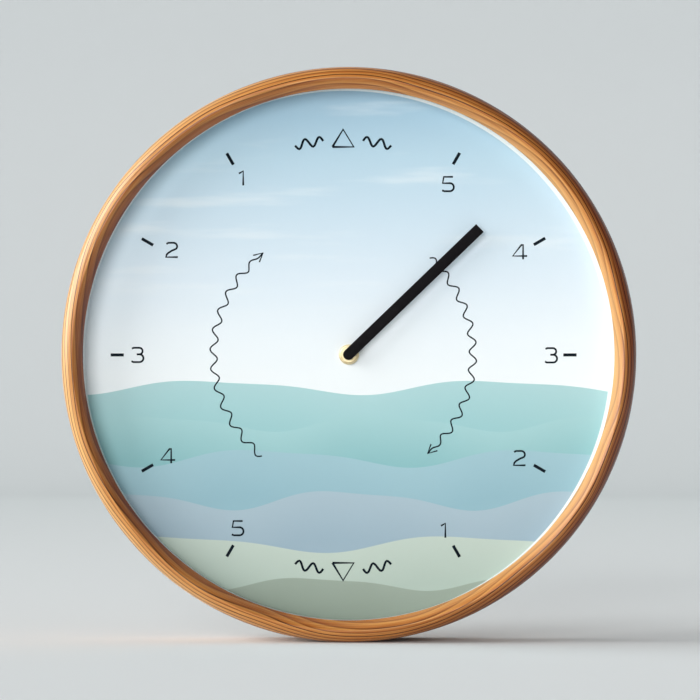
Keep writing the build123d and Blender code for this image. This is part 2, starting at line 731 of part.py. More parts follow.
# Front half of the housing, with blind pivot holes and posts for the stator
housing_middle = (0, (housing_top + housing_bottom) / 2)
room_middle = (0, (room_top + room_floor) / 2)
bay_middle = (0, (bay_top + bay_floor) / 2)
inner_corner = HOUSING_CORNER - HOUSING_WALL
with BuildPart() as movement_base:
    with BuildSketch(front_plane(split_level, housing_middle)):
        RectangleRounded(housing_width, housing_top - housing_bottom, HOUSING_CORNER)
    extrude(amount=housing_front - split_level)
    chamfer(movement_base.edges().group_by(Axis.Y)[0], HOUSING_BEVEL)
    with BuildSketch(front_plane(split_level)):
        with Locations(room_middle):
            RectangleRounded(2 * inner_half_width, room_top - room_floor, inner_corner)
        with Locations(bay_middle):
            RectangleRounded(2 * inner_half_width, bay_top - bay_floor, inner_corner)
    extrude(amount=room_front - split_level, mode=Mode.SUBTRACT)
    with BuildSketch(front_plane(stator_front)):
        with Locations((left_foot_x, coil_z), (right_foot_x, coil_z)):
            Circle(POST_RADIUS)
    extrude(amount=room_front - stator_front)
    with BuildSketch(front_plane(room_front)):
        Circle(BUSH_RADIUS + FIT_GAP)
    extrude(amount=FRONT_WALL, mode=Mode.SUBTRACT)
    with BuildSketch(front_plane(room_front)):
        with Locations(*small_arbors[1:]):
            Circle(ARBOR_RADIUS + RUNNING_CLEARANCE)
        with Locations(setting_place):
            Circle(SETTING_ARBOR_RADIUS + RUNNING_CLEARANCE)
    extrude(amount=PIVOT_DEPTH, mode=Mode.SUBTRACT)
save(movement_base, "movement_base")

# Rear half of the housing, open over the battery bay
with BuildPart() as movement_cover:
    with BuildSketch(front_plane(housing_back, housing_middle)):
        RectangleRounded(housing_width, housing_top - housing_bottom, HOUSING_CORNER)
    extrude(amount=split_level - housing_back)
    chamfer(movement_cover.edges().group_by(Axis.Y)[-1], HOUSING_BEVEL)
    with BuildSketch(front_plane(room_back)):
        with Locations(room_middle):
            RectangleRounded(2 * inner_half_width, room_top - room_floor, inner_corner)
    extrude(amount=split_level - room_back, mode=Mode.SUBTRACT)
    with BuildSketch(front_plane(housing_back)):
        with Locations(bay_middle):
            RectangleRounded(2 * inner_half_width, bay_top - bay_floor, inner_corner)
        with Locations(setting_place):
            Circle(SETTING_ARBOR_RADIUS + RUNNING_CLEARANCE)
    extrude(amount=split_level - housing_back, mode=Mode.SUBTRACT)
    with BuildSketch(front_plane(room_back - PIVOT_DEPTH)):
        with Locations(*small_arbors):
            Circle(ARBOR_RADIUS + RUNNING_CLEARANCE)
    extrude(amount=PIVOT_DEPTH, mode=Mode.SUBTRACT)
save(movement_cover, "movement_cover")

# Setting arbor, with a pinion in mesh with the tide wheel
setting_phase = mesh_phase(TIDE_TEETH, SETTING_LEAVES, SETTING_BEARING)
with BuildPart() as setting_arbor:
    with BuildSketch(front_plane(knob_back, setting_place)):
        Circle(SETTING_ARBOR_RADIUS)
    extrude(amount=pivot_front - knob_back)
    with BuildSketch(front_plane(tide_front - WHEEL_THICKNESS - PINION_OVERHANG, setting_place)):
        with BuildLine():
            Polyline(*pinion_outline(SETTING_LEAVES, setting_phase), close=True)
        make_face()
    extrude(amount=WHEEL_THICKNESS + 2 * PINION_OVERHANG)
save(setting_arbor, "setting_arbor")

# Knurled setting knob
flute_points = []
for flute in range(2 * KNOB_FLUTES):
    flute_turn = math.pi * flute / KNOB_FLUTES
    flute_radius = KNOB_RADIUS - FLUTE_DEPTH * (flute % 2)
    flute_points.append((flute_radius * math.cos(flute_turn), flute_radius * math.sin(flute_turn)))
with BuildPart() as setting_knob:
    with BuildSketch(front_plane(knob_back, setting_place)):
        with BuildLine():
            Polyline(*flute_points, close=True)
        make_face()
        Circle(SETTING_ARBOR_RADIUS + FIT_GAP, mode=Mode.SUBTRACT)
    extrude(amount=KNOB_THICKNESS)
save(setting_knob, "setting_knob")

# Wall hanger: a strip on the bush, cranked over the housing to a keyhole near the wall
strip_level = gasket_back - HANGER_THICKNESS / 2
eye_level = back_level + WALL_GAP + HANGER_THICKNESS / 2
crank_z = housing_top + HANGER_GAP + HANGER_THICKNESS / 2
keyhole_z = crank_z + HANGER_BEND + KEYHOLE_MARGIN + KEYHOLE_RADIUS
eye_top = keyhole_z + KEYHOLE_RISE + KEYHOLE_SLOT / 2 + KEYHOLE_MARGIN
eye_back = eye_level - HANGER_THICKNESS / 2
with BuildPart() as wall_hanger:
    with BuildSketch(Plane.YZ):
        with BuildLine():
            FilletPolyline(
                (-strip_level, -HANGER_FOOT),
                (-strip_level, crank_z),
                (-eye_level, crank_z),
                (-eye_level, eye_top),
                radius=HANGER_BEND,
            )
        trace(line_width=HANGER_THICKNESS)
    extrude(amount=HANGER_WIDTH / 2, both=True)
    with BuildSketch(front_plane(housing_front)):
        Circle(bush_hole_radius)
    extrude(amount=HANGER_THICKNESS, mode=Mode.SUBTRACT)
    with BuildSketch(front_plane(eye_back)):
        with Locations((0, keyhole_z)):
            Circle(KEYHOLE_RADIUS)
            Rectangle(KEYHOLE_SLOT, KEYHOLE_RISE, align=(Align.CENTER, Align.MIN))
        with Locations((0, keyhole_z + KEYHOLE_RISE)):
            Circle(KEYHOLE_SLOT / 2)
    extrude(amount=HANGER_THICKNESS, mode=Mode.SUBTRACT)
save(wall_hanger, "wall_hanger")
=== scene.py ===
"""Tide clock: a turned wooden ring, a printed dial, one hand, and a quartz movement behind."""
import logging
import math
from dataclasses import dataclass, field
from enum import Enum
from typing import Any, Sequence

import bpy
from mathutils import Matrix, Vector


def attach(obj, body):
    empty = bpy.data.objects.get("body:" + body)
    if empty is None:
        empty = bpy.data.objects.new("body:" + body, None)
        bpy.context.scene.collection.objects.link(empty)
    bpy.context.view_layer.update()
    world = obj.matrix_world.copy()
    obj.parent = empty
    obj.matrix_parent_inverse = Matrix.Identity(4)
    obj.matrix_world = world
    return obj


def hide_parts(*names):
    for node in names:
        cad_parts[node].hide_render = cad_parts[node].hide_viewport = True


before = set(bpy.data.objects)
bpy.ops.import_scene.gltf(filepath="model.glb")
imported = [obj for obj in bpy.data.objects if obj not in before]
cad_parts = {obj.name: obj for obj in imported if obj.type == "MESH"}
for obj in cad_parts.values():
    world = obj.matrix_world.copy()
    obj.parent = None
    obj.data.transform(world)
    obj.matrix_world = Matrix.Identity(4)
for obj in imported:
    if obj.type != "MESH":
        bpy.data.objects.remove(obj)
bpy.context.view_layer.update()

LOG = logging.getLogger("tide_clock")
MM = 0.001

Point = tuple[float, float]


def srgb(code: str) -> tuple[float, float, float, float]:
    """Turn an sRGB hex colour into linear values.

    Args:
        code: six hex digits after a hash sign.

    Returns:
        Linear red, green and blue, and full opacity.
    """
    parts = [int(code[i : i + 2], 16) / 255 for i in (1, 3, 5)]
    linear = [c / 12.92 if c <= 0.04045 else ((c + 0.055) / 1.055) ** 2.4 for c in parts]
    return (*linear, 1.0)


class Kind(Enum):
    """Kinds of shader nodes that the finishes are made of."""

    PLACE = "ShaderNodeTexCoord"
    SPLIT = "ShaderNodeSeparateXYZ"
    JOIN = "ShaderNodeCombineXYZ"
    MATH = "ShaderNodeMath"
    VECTOR = "ShaderNodeVectorMath"
    NOISE = "ShaderNodeTexNoise"
    RANDOM = "ShaderNodeTexWhiteNoise"
    WAVE = "ShaderNodeTexWave"
    RANGE = "ShaderNodeMapRange"
    RAMP = "ShaderNodeValToRGB"
    MIX = "ShaderNodeMix"
    BUMP = "ShaderNodeBump"
    FRESNEL = "ShaderNodeFresnel"
    CLEAR = "ShaderNodeBsdfTransparent"
    GLOSS = "ShaderNodeBsdfGlossy"
    BLEND = "ShaderNodeMixShader"
    SURFACE = "ShaderNodeBsdfPrincipled"
    OUTPUT = "ShaderNodeOutputMaterial"


def add(
    tree: bpy.types.NodeTree,
    kind: Kind,
    inputs: dict[Any, Any] | None = None,
    stops: Sequence[tuple[float, str]] = (),
    **settings: Any,
) -> bpy.types.Node:
    """Add a node to a tree, with its settings, values and links.

    Args:
        tree: the material's node tree.
        kind: what the node is.
        inputs: for each input's name or number, a value, a socket to link, or a node whose first
            output in use is linked.
        stops: places from 0 to 1 and hex colours, for a node that has a colour ramp.
        settings: properties of the node itself.

    Returns:
        The new node.
    """
    node = tree.nodes.new(kind.value)
    for name, value in settings.items():
        setattr(node, name, value)
    for key, value in (inputs or {}).items():
        if isinstance(value, bpy.types.Node):
            value = next(output for output in value.outputs if output.enabled)
        if isinstance(value, bpy.types.NodeSocket):
            tree.links.new(value, node.inputs[key])
        else:
            node.inputs[key].default_value = value
    while stops and len(node.color_ramp.elements) < len(stops):
        node.color_ramp.elements.new(1.0)
    for index, (place, code) in enumerate(stops):
        node.color_ramp.elements[index].position = place
        node.color_ramp.elements[index].color = srgb(code)
    return node


class Slot(Enum):
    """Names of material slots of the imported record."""

    WOOD = "wood"
    CARD = "white_card"
    PRINT = "dial_print"
    HAND = "black_hand"
    BRASS = "brass"
    STEEL = "steel"
    PLASTIC = "housing_plastic"
    CELL = "cell_jacket"


class Body(Enum):
    """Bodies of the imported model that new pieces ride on."""

    CASE = "case"
    HAND = "hand"
    SETTING = "setting"
    BATTERY = "battery"


@dataclass(frozen=True)
class Finish:
    """A surface finish: its name, and how it answers light."""

    name: str
    colour: str
    roughness: float = 0.5
    metallic: float = 0.0

    def start(self) -> tuple[bpy.types.NodeTree, bpy.types.NodeSocket]:
        """Make an empty material.

        Returns:
            The node tree and the Object coordinates.
        """
        material = bpy.data.materials.new(self.name)
        material.use_nodes = True
        tree = material.node_tree
        tree.nodes.clear()
        return tree, add(tree, Kind.PLACE).outputs["Object"]

    def close(self, tree: bpy.types.NodeTree, inputs: dict[str, Any]) -> None:
        """Add the shader and the output.

        Args:
            tree: the material's node tree.
            inputs: what the shader takes beside the finish's own values.
        """
        own = {"Base Color": srgb(self.colour), "Roughness": self.roughness, "Metallic": self.metallic}
        add(tree, Kind.OUTPUT, {"Surface": add(tree, Kind.SURFACE, own | inputs)})

    def material(self) -> bpy.types.Material:
        """Return the finish's material, made on first use."""
        if self.name not in bpy.data.materials:
            self.dress()
        return bpy.data.materials[self.name]

    def dress(self) -> None:
        """Build the nodes of the material."""
        raise NotImplementedError


@dataclass(frozen=True)
class Grained(Finish):
    """A plain made surface with a fine grain in its colour, gloss and relief."""

    second: str = "#808080"
    grain_mm: float = 0.6
    patch_mm: float = 9.0
    relief_mm: float = 0.01
    gloss_spread: float = 0.12
    stretch: tuple[float, float, float] = (1.0, 1.0, 1.0)
    sheen: float = 0.5
    emboss: float = 1.0
    tone_span: Point = (0.3, 0.7)

    def dress(self) -> None:
        """Mottle two near colours by patches, and roughen and emboss by the grain."""
        tree, place = self.start()
        spread = add(tree, Kind.VECTOR, {0: place, 1: self.stretch}, operation="MULTIPLY")
        fine, coarse = 1 / (self.grain_mm * MM), 1 / (self.patch_mm * MM)
        grain = add(tree, Kind.NOISE, {"Vector": spread, "Scale": fine, "Detail": 3.0})
        patch = add(tree, Kind.NOISE, {"Vector": place, "Scale": coarse, "Detail": 2.0})
        both = add(tree, Kind.MATH, {0: grain, 1: patch}, operation="ADD")
        share = add(tree, Kind.MATH, {0: both, 1: 0.5}, operation="MULTIPLY")
        tones = list(zip(self.tone_span, (self.colour, self.second)))
        colour = add(tree, Kind.RAMP, {0: share}, tones)
        low = self.roughness - self.gloss_spread / 2
        gloss = add(tree, Kind.MATH, {0: share, 1: self.gloss_spread, 2: low}, operation="MULTIPLY_ADD")
        relief = {"Height": grain, "Strength": self.emboss, "Distance": self.relief_mm * MM}
        bump = add(tree, Kind.BUMP, relief)
        inputs = {"Base Color": colour, "Roughness": gloss, "Normal": bump}
        self.close(tree, inputs | {"Specular IOR Level": self.sheen})


@dataclass(frozen=True)
class TurnedMetal(Finish):
    """Metal off a lathe, with fine rings about an axis along Y."""

    second: str = "#808080"
    ring_mm: float = 0.35
    stain_mm: float = 2.5
    relief_mm: float = 0.02
    gloss_spread: float = 0.22
    tone_span: Point = (0.35, 0.7)

    def dress(self) -> None:
        """Ring the gloss and the relief about the axis, and tint the colour a little with slow stains."""
        tree, place = self.start()
        flat = add(tree, Kind.VECTOR, {0: place, 1: (1.0, 0.0, 1.0)}, operation="MULTIPLY")
        radius = add(tree, Kind.VECTOR, {0: flat}, operation="LENGTH")
        fine, coarse = 1 / (self.ring_mm * MM), 1 / (self.stain_mm * MM)
        lathe = {"W": radius, "Scale": fine, "Detail": 2.0}
        rings = add(tree, Kind.NOISE, lathe, noise_dimensions="1D")
        stain_and_shade = add(tree, Kind.NOISE, {"Vector": place, "Scale": coarse, "Detail": 3.0})
        tones = list(zip(self.tone_span, (self.colour, self.second)))
        colour = add(tree, Kind.RAMP, {0: stain_and_shade}, tones)
        low = self.roughness - self.gloss_spread / 2
        gloss = add(tree, Kind.MATH, {0: rings, 1: self.gloss_spread, 2: low}, operation="MULTIPLY_ADD")
        bump = add(tree, Kind.BUMP, {"Height": rings, "Distance": self.relief_mm * MM})
        self.close(tree, {"Base Color": colour, "Roughness": gloss, "Normal": bump})


@dataclass(frozen=True)
class LacqueredPine(Finish):
    """Honey-stained pine, bent and turned, under a clear satin lacquer.

    The eye sees thin dark latewood lines that run along the ring, wander and come to points, on a
    warm ground with fine fibres, and a soft highlight on top.
    """

    layer_mm: float = 2.1
    slant: float = 0.3
    side_slant: float = 0.6
    shoulder_mm: float = -14.4
    drift_layers: float = 8.0
    drift_mm: float = 127.0
    wander_layers: float = 1.4
    wander_mm: float = 62.0
    fibre_mm: float = 0.3
    fibre_run_mm: float = 34.0
    ring_mm: float = 146.0
    crest_mm: float = 143.5
    splay_mm: float = 141.5
    # How far, how unevenly and how strongly the painted shade and the painted light spread across the ring
    painted_shade_reach_mm: float = 3.5
    uneven_mm: float = 1.6
    painted_shade_share: float = 0.8
    painted_light_share: float = 0.64
    fade_mm: float = -2.0
    back_tone: float = 0.15
    back_line: float = 0.6
    splay_line: float = 0.3
    line_base: float = 0.38
    line_spread: float = 0.6
    relief_mm: float = 0.035
    gloss_spread: float = 0.2
    sheen: float = 0.12
    coat: float = 0.75
    coat_roughness: float = 0.27

    def dress(self) -> None:
        """Lay growth layers and fibres along the ring, then coat them."""
        tree, place = self.start()
        deep = add(tree, Kind.SPLIT, {0: place}).outputs[1]
        flat = add(tree, Kind.VECTOR, {0: place, 1: (1.0, 0.0, 1.0)}, operation="MULTIPLY")
        radius = add(tree, Kind.VECTOR, {0: flat}, operation="LENGTH")
        way = add(tree, Kind.VECTOR, {0: flat}, operation="NORMALIZE")
        # Slow drift of the layers around the ring brings the lines to points
        slow = self.ring_mm / self.drift_mm
        drift = add(tree, Kind.NOISE, {"Vector": way, "Scale": slow, "Detail": 1.0})
        coarse = 1 / (self.wander_mm * MM)
        gentle = {"Vector": flat, "Scale": coarse, "Detail": 1.0, "Roughness": 0.4}
        wander = add(tree, Kind.NOISE, gentle)
        thick = 1 / (self.layer_mm * MM)
        back = add(tree, Kind.MATH, {0: deep, 1: thick * self.slant}, operation="MULTIPLY")
        out = add(tree, Kind.MATH, {0: radius, 1: thick, 2: back}, operation="MULTIPLY_ADD")
        # The lines lie closer on the ring's outer side
        past = add(tree, Kind.MATH, {0: deep, 1: self.shoulder_mm * MM}, operation="SUBTRACT")
        side = add(tree, Kind.MATH, {0: past, 1: 0.0}, operation="MAXIMUM")
        closer = {0: side, 1: thick * self.side_slant, 2: out}
        far = add(tree, Kind.MATH, closer, operation="MULTIPLY_ADD")
        bent = add(tree, Kind.MATH, {0: wander, 1: self.wander_layers, 2: far}, operation="MULTIPLY_ADD")
        moved = add(tree, Kind.MATH, {0: drift, 1: self.drift_layers, 2: bent}, operation="MULTIPLY_ADD")
        layer = add(tree, Kind.MATH, {0: moved}, operation="FRACT")
        number = add(tree, Kind.MATH, {0: moved}, operation="FLOOR")
        strength = add(tree, Kind.RANDOM, {"W": number}, noise_dimensions="1D")
        # Fibres are long around the ring and thin across it
        run, fine = self.ring_mm / self.fibre_run_mm, 1 / (self.fibre_mm * MM)
        along = add(tree, Kind.VECTOR, {0: way, 1: (run, 0.0, run)}, operation="MULTIPLY")
        parts = add(tree, Kind.SPLIT, {0: along}).outputs
        inward = add(tree, Kind.MATH, {0: radius, 1: fine}, operation="MULTIPLY")
        thread = add(tree, Kind.JOIN, {0: parts[0], 1: parts[2], 2: inward})
        aside = add(tree, Kind.MATH, {0: deep, 1: fine}, operation="MULTIPLY")
        weave = {"Vector": thread, "W": aside, "Scale": 1.0, "Detail": 3.0, "Roughness": 0.6}
        fibre = add(tree, Kind.NOISE, weave, noise_dimensions="4D")
        fibres = [(0.36, "#702E06"), (0.5, "#A85B1C"), (0.64, "#DE9F50")]
        ground = add(tree, Kind.RAMP, {0: fibre}, fibres)
        # Earlywood darkens slowly through each layer
        early = [(0.0, "#DC9D50"), (0.5, "#BC712C"), (0.85, "#8E4516"), (0.98, "#DC9D50")]
        growth = add(tree, Kind.RAMP, {0: layer}, early)
        colour = add(tree, Kind.MIX, {0: 0.5, 6: ground, 7: growth}, data_type="RGBA")
        # Painted light and shade: faces turned to the left (the outer side on the left, the splay on the
        # right) are paled as if lit, and faces turned to the right are darkened red-brown as if in shade
        lead = add(tree, Kind.SPLIT, {0: way}).outputs[0]
        crest = add(tree, Kind.MATH, {0: radius, 1: self.crest_mm * MM}, operation="SUBTRACT")
        offset = add(tree, Kind.MATH, {0: crest, 1: lead}, operation="MULTIPLY")
        sway = self.uneven_mm * MM
        uneven = add(tree, Kind.MATH, {0: wander, 1: sway, 2: -sway / 2}, operation="MULTIPLY_ADD")
        depth = add(tree, Kind.MATH, {0: offset, 1: uneven}, operation="ADD")
        reach = self.painted_shade_reach_mm * MM
        right = {"Value": depth, "From Min": 0.0, "From Max": reach, "To Max": self.painted_shade_share}
        red = add(tree, Kind.RANGE, right)
        left = {"Value": depth, "From Min": 0.0, "From Max": -reach, "To Max": self.painted_light_share}
        pale = add(tree, Kind.RANGE, left)
        # The painted shade and light, and the lines, weaken from the shoulder to the back
        fading = {"From Min": self.shoulder_mm * MM, "From Max": self.fade_mm * MM}
        fading |= {"Value": deep, "To Min": 1.0}
        fade = add(tree, Kind.RANGE, fading | {"To Max": self.back_tone})
        faded_shade = add(tree, Kind.MATH, {0: red, 1: fade}, operation="MULTIPLY")
        faded_light = add(tree, Kind.MATH, {0: pale, 1: fade}, operation="MULTIPLY")
        # Painted shade multiplies in a red-brown, then painted light mixes in a pale tan
        stain_and_shade = {0: faded_shade, 6: colour, 7: srgb("#8F4C32")}
        colour = add(tree, Kind.MIX, stain_and_shade, data_type="RGBA", blend_type="MULTIPLY")
        colour = add(tree, Kind.MIX, {0: faded_light, 6: colour, 7: srgb("#DDAF70")}, data_type="RGBA")
        # Thin latewood lines end each layer, faint on the splay and strong outside
        late = [(0.66, "#000000"), (0.77, "#FFFFFF"), (0.93, "#FFFFFF"), (0.97, "#000000")]
        line = add(tree, Kind.RAMP, {0: layer}, late)
        varied = {0: strength, 1: self.line_spread, 2: self.line_base}
        share = add(tree, Kind.MATH, varied, operation="MULTIPLY_ADD")
        drawn = add(tree, Kind.MATH, {0: line, 1: share}, operation="MULTIPLY")
        inner = {"From Min": self.splay_mm * MM, "From Max": self.crest_mm * MM}
        outer = add(tree, Kind.RANGE, inner | {"Value": radius, "To Min": self.splay_line})
        soften = add(tree, Kind.RANGE, fading | {"To Max": self.back_line})
        faint = add(tree, Kind.MATH, {0: drawn, 1: outer}, operation="MULTIPLY")
        dark = add(tree, Kind.MATH, {0: faint, 1: soften}, operation="MULTIPLY")
        colour = add(tree, Kind.MIX, {0: dark, 6: colour, 7: srgb("#260A02")}, data_type="RGBA")
        low = self.roughness - self.gloss_spread / 2
        gloss = add(tree, Kind.MATH, {0: fibre, 1: self.gloss_spread, 2: low}, operation="MULTIPLY_ADD")
        bump = add(tree, Kind.BUMP, {"Height": fibre, "Distance": self.relief_mm * MM})
        lacquer = {"Coat Weight": self.coat, "Coat Roughness": self.coat_roughness}
        inputs = {"Base Color": colour, "Roughness": gloss, "Normal": bump}
        self.close(tree, inputs | lacquer | {"Specular IOR Level": self.sheen})


@dataclass(frozen=True)
class PrintedCard(Finish):
    """Matt coated card, printed with a pale sky over layered swells of the sea.

    The eye sees flat soft inks, smooth gradients, long thin clouds and a little tooth in the card.
    """

    horizon_mm: float = -12.0
    top_mm: float = 138.0
    edge_mm: float = 139.0
    blur_mm: float = 0.12
    fade_mm: float = 24.0
    centre_mm: Point = (-2.2, -0.8)
    cloud_mm: float = 17.0
    cloud_stretch: tuple[float, float, float] = (0.22, 1.0, 1.6)
    cloud_span: Point = (0.52, 0.78)
    cloud_veil: float = 0.45
    ripple_share: float = 0.3
    ripple_start: float = 0.8
    tooth_mm: float = 0.35
    mottle: float = 0.05
    relief_mm: float = 0.003
    emboss: float = 0.12
    gloss_spread: float = 0.04
    sheen: float = 0.25

    def sky(self) -> list[tuple[float, str]]:
        """Return the sky's colours, by share of the way from the horizon to the top."""
        return [
            (0.0, "#FCFDFE"), (0.13, "#F7FAFD"), (0.34, "#E7F0F8"), (0.6, "#D1E3EF"),
            (0.77, "#C1DAE8"), (0.91, "#AFCDDF"), (1.0, "#A7C4D7"),
        ]

    def swells(self) -> list[tuple[float, float, float, float, str, str]]:
        """Return each swell's height, rise, length and start in mm and degrees, and its two colours."""
        return [
            (-17.0, 3.4, 148.0, 265.0, "#A5D0D2", "#B7DADB"),
            (-36.0, 3.6, 118.0, 40.0, "#93C3C6", "#AED5D6"),
            (-54.0, 4.2, 142.0, 200.0, "#9BBFCA", "#A9CAD3"),
            (-76.0, 4.6, 126.0, 95.0, "#A4B9C6", "#B3C5CF"),
            (-99.0, 4.0, 158.0, 310.0, "#BCCABE", "#CBD6CA"),
            (-120.0, 3.0, 112.0, 150.0, "#929E90", "#A4AFA1"),
        ]

    def dress(self) -> None:
        """Print the sky, the clouds and the swells, from the back to the front."""
        tree, place = self.start()
        axes = add(tree, Kind.SPLIT, {0: place}).outputs
        across, up = axes[0], axes[2]
        blur = self.blur_mm * MM
        span = {"From Min": self.horizon_mm * MM, "From Max": self.top_mm * MM}
        rise = add(tree, Kind.RANGE, {"Value": up} | span)
        colour = add(tree, Kind.RAMP, {0: rise}, self.sky())
        # Long thin streaks of high cloud
        streak = add(tree, Kind.VECTOR, {0: place, 1: self.cloud_stretch}, operation="MULTIPLY")
        coarse = 1 / (self.cloud_mm * MM)
        cloud = add(tree, Kind.NOISE, {"Vector": streak, "Scale": coarse, "Detail": 3.0})
        thin = {"Value": cloud, "From Min": self.cloud_span[0], "From Max": self.cloud_span[1]}
        thin |= {"To Min": 0.0, "To Max": self.cloud_veil}
        veil = add(tree, Kind.RANGE, thin, interpolation_type="SMOOTHSTEP")
        colour = add(tree, Kind.MIX, {0: veil, 6: colour, 7: srgb("#F7FAFC")}, data_type="RGBA")
        for height, amount, length, start, low, high in self.swells():
            lap = {0: across, 1: 2 * math.pi / (length * MM), 2: math.radians(start)}
            turn = add(tree, Kind.MATH, lap, operation="MULTIPLY_ADD")
            wave = add(tree, Kind.MATH, {0: turn}, operation="SINE")
            twice = add(tree, Kind.MATH, {0: turn, 1: 2.0, 2: self.ripple_start}, operation="MULTIPLY_ADD")
            ripple = add(tree, Kind.MATH, {0: twice}, operation="SINE")
            whole = {0: wave, 1: amount * MM, 2: height * MM}
            long = add(tree, Kind.MATH, whole, operation="MULTIPLY_ADD")
            short = {0: ripple, 1: amount * MM * self.ripple_share, 2: long}
            crest = add(tree, Kind.MATH, short, operation="MULTIPLY_ADD")
            below = add(tree, Kind.MATH, {0: crest, 1: up}, operation="SUBTRACT")
            inside = add(tree, Kind.RANGE, {"Value": below, "From Min": -blur, "From Max": blur})
            fade = add(tree, Kind.RANGE, {"Value": below, "From Max": self.fade_mm * MM})
            body = add(tree, Kind.RAMP, {0: fade}, [(0.0, high), (1.0, low)])
            colour = add(tree, Kind.MIX, {0: inside, 6: colour, 7: body}, data_type="RGBA")
        # The picture sits a little to the left, and bare card shows beyond it at the right
        beside = (-self.centre_mm[0] * MM, 0.0, -self.centre_mm[1] * MM)
        about = add(tree, Kind.VECTOR, {0: place, 1: beside}, operation="ADD")
        flat = add(tree, Kind.VECTOR, {0: about, 1: (1.0, 0.0, 1.0)}, operation="MULTIPLY")
        radius = add(tree, Kind.VECTOR, {0: flat}, operation="LENGTH")
        edge = self.edge_mm * MM
        rim = {"Value": radius, "From Min": edge - blur, "From Max": edge + blur}
        bare = add(tree, Kind.RANGE, rim)
        colour = add(tree, Kind.MIX, {0: bare, 6: colour, 7: srgb("#FAFAF8")}, data_type="RGBA")
        fine = 1 / (self.tooth_mm * MM)
        tooth = add(tree, Kind.NOISE, {"Vector": place, "Scale": fine, "Detail": 2.0})
        faint = {0: tooth, 1: self.mottle, 2: 1 - self.mottle / 2}
        mottle = add(tree, Kind.MATH, faint, operation="MULTIPLY_ADD")
        whole = {0: 1.0, 6: colour, 7: mottle}
        colour = add(tree, Kind.MIX, whole, data_type="RGBA", blend_type="MULTIPLY")
        low = self.roughness - self.gloss_spread / 2
        gloss = add(tree, Kind.MATH, {0: tooth, 1: self.gloss_spread, 2: low}, operation="MULTIPLY_ADD")
        relief = {"Height": tooth, "Strength": self.emboss, "Distance": self.relief_mm * MM}
        bump = add(tree, Kind.BUMP, relief)
        inputs = {"Base Color": colour, "Roughness": gloss, "Normal": bump}
        self.close(tree, inputs | {"Specular IOR Level": self.sheen})


@dataclass(frozen=True)
class FloatGlass(Finish):
    """Clear coated flat glass, which mirrors nothing from the front and a little from the side."""

    coated_share: float = 0.04
    reflection_share: float = 0.12
    smear_mm: float = 30.0
    smear_gloss: float = 0.05
    index: float = 1.45

    def dress(self) -> None:
        """Let light through, and reflect a little of it by the angle."""
        tree, place = self.start()
        coarse = 1 / (self.smear_mm * MM)
        smear = add(tree, Kind.NOISE, {"Vector": place, "Scale": coarse, "Detail": 2.0})
        dull = {0: smear, 1: self.smear_gloss, 2: self.roughness}
        rough = add(tree, Kind.MATH, dull, operation="MULTIPLY_ADD")
        clear = add(tree, Kind.CLEAR, {"Color": srgb(self.colour)})
        sheen = add(tree, Kind.GLOSS, {"Color": srgb("#FFFFFF"), "Roughness": rough})
        edge = add(tree, Kind.FRESNEL, {"IOR": self.index})
        low = {"Value": edge, "From Min": self.coated_share, "To Max": self.reflection_share}
        share = add(tree, Kind.RANGE, low)
        add(tree, Kind.OUTPUT, {"Surface": add(tree, Kind.BLEND, {0: share, 1: clear, 2: sheen})})


@dataclass(frozen=True)
class CellJacket(Finish):
    """Printed foil jacket of a dry cell: a plain satin body and a band at the button end."""

    band: str = "#C98A4B"
    band_start_mm: float = 12.5
    foil: str = "#C8C9C6"
    end_mm: float = 23.9
    middle_mm: float = -0.6
    grain_mm: float = 0.8
    relief_mm: float = 0.008
    gloss_spread: float = 0.16

    def dress(self) -> None:
        """Print the body and the band along X, and leave the ends as bright metal."""
        tree, place = self.start()
        across = add(tree, Kind.SPLIT, {0: place}).outputs[0]
        fine = 1 / (self.grain_mm * MM)
        grain = add(tree, Kind.NOISE, {"Vector": place, "Scale": fine, "Detail": 2.0})
        band = add(tree, Kind.MATH, {0: across, 1: self.band_start_mm * MM}, operation="GREATER_THAN")
        inks = {0: band, 6: srgb(self.colour), 7: srgb(self.band)}
        printed = add(tree, Kind.MIX, inks, data_type="RGBA")
        shifted = add(tree, Kind.MATH, {0: across, 1: self.middle_mm * MM}, operation="SUBTRACT")
        span = add(tree, Kind.MATH, {0: shifted}, operation="ABSOLUTE")
        end = add(tree, Kind.MATH, {0: span, 1: self.end_mm * MM}, operation="GREATER_THAN")
        colour = add(tree, Kind.MIX, {0: end, 6: printed, 7: srgb(self.foil)}, data_type="RGBA")
        bright = {0: end, 1: 1 - self.metallic, 2: self.metallic}
        metal = add(tree, Kind.MATH, bright, operation="MULTIPLY_ADD")
        low = self.roughness - self.gloss_spread / 2
        gloss = add(tree, Kind.MATH, {0: grain, 1: self.gloss_spread, 2: low}, operation="MULTIPLY_ADD")
        bump = add(tree, Kind.BUMP, {"Height": grain, "Distance": self.relief_mm * MM})
        inputs = {"Base Color": colour, "Metallic": metal, "Roughness": gloss, "Normal": bump}
        self.close(tree, inputs)


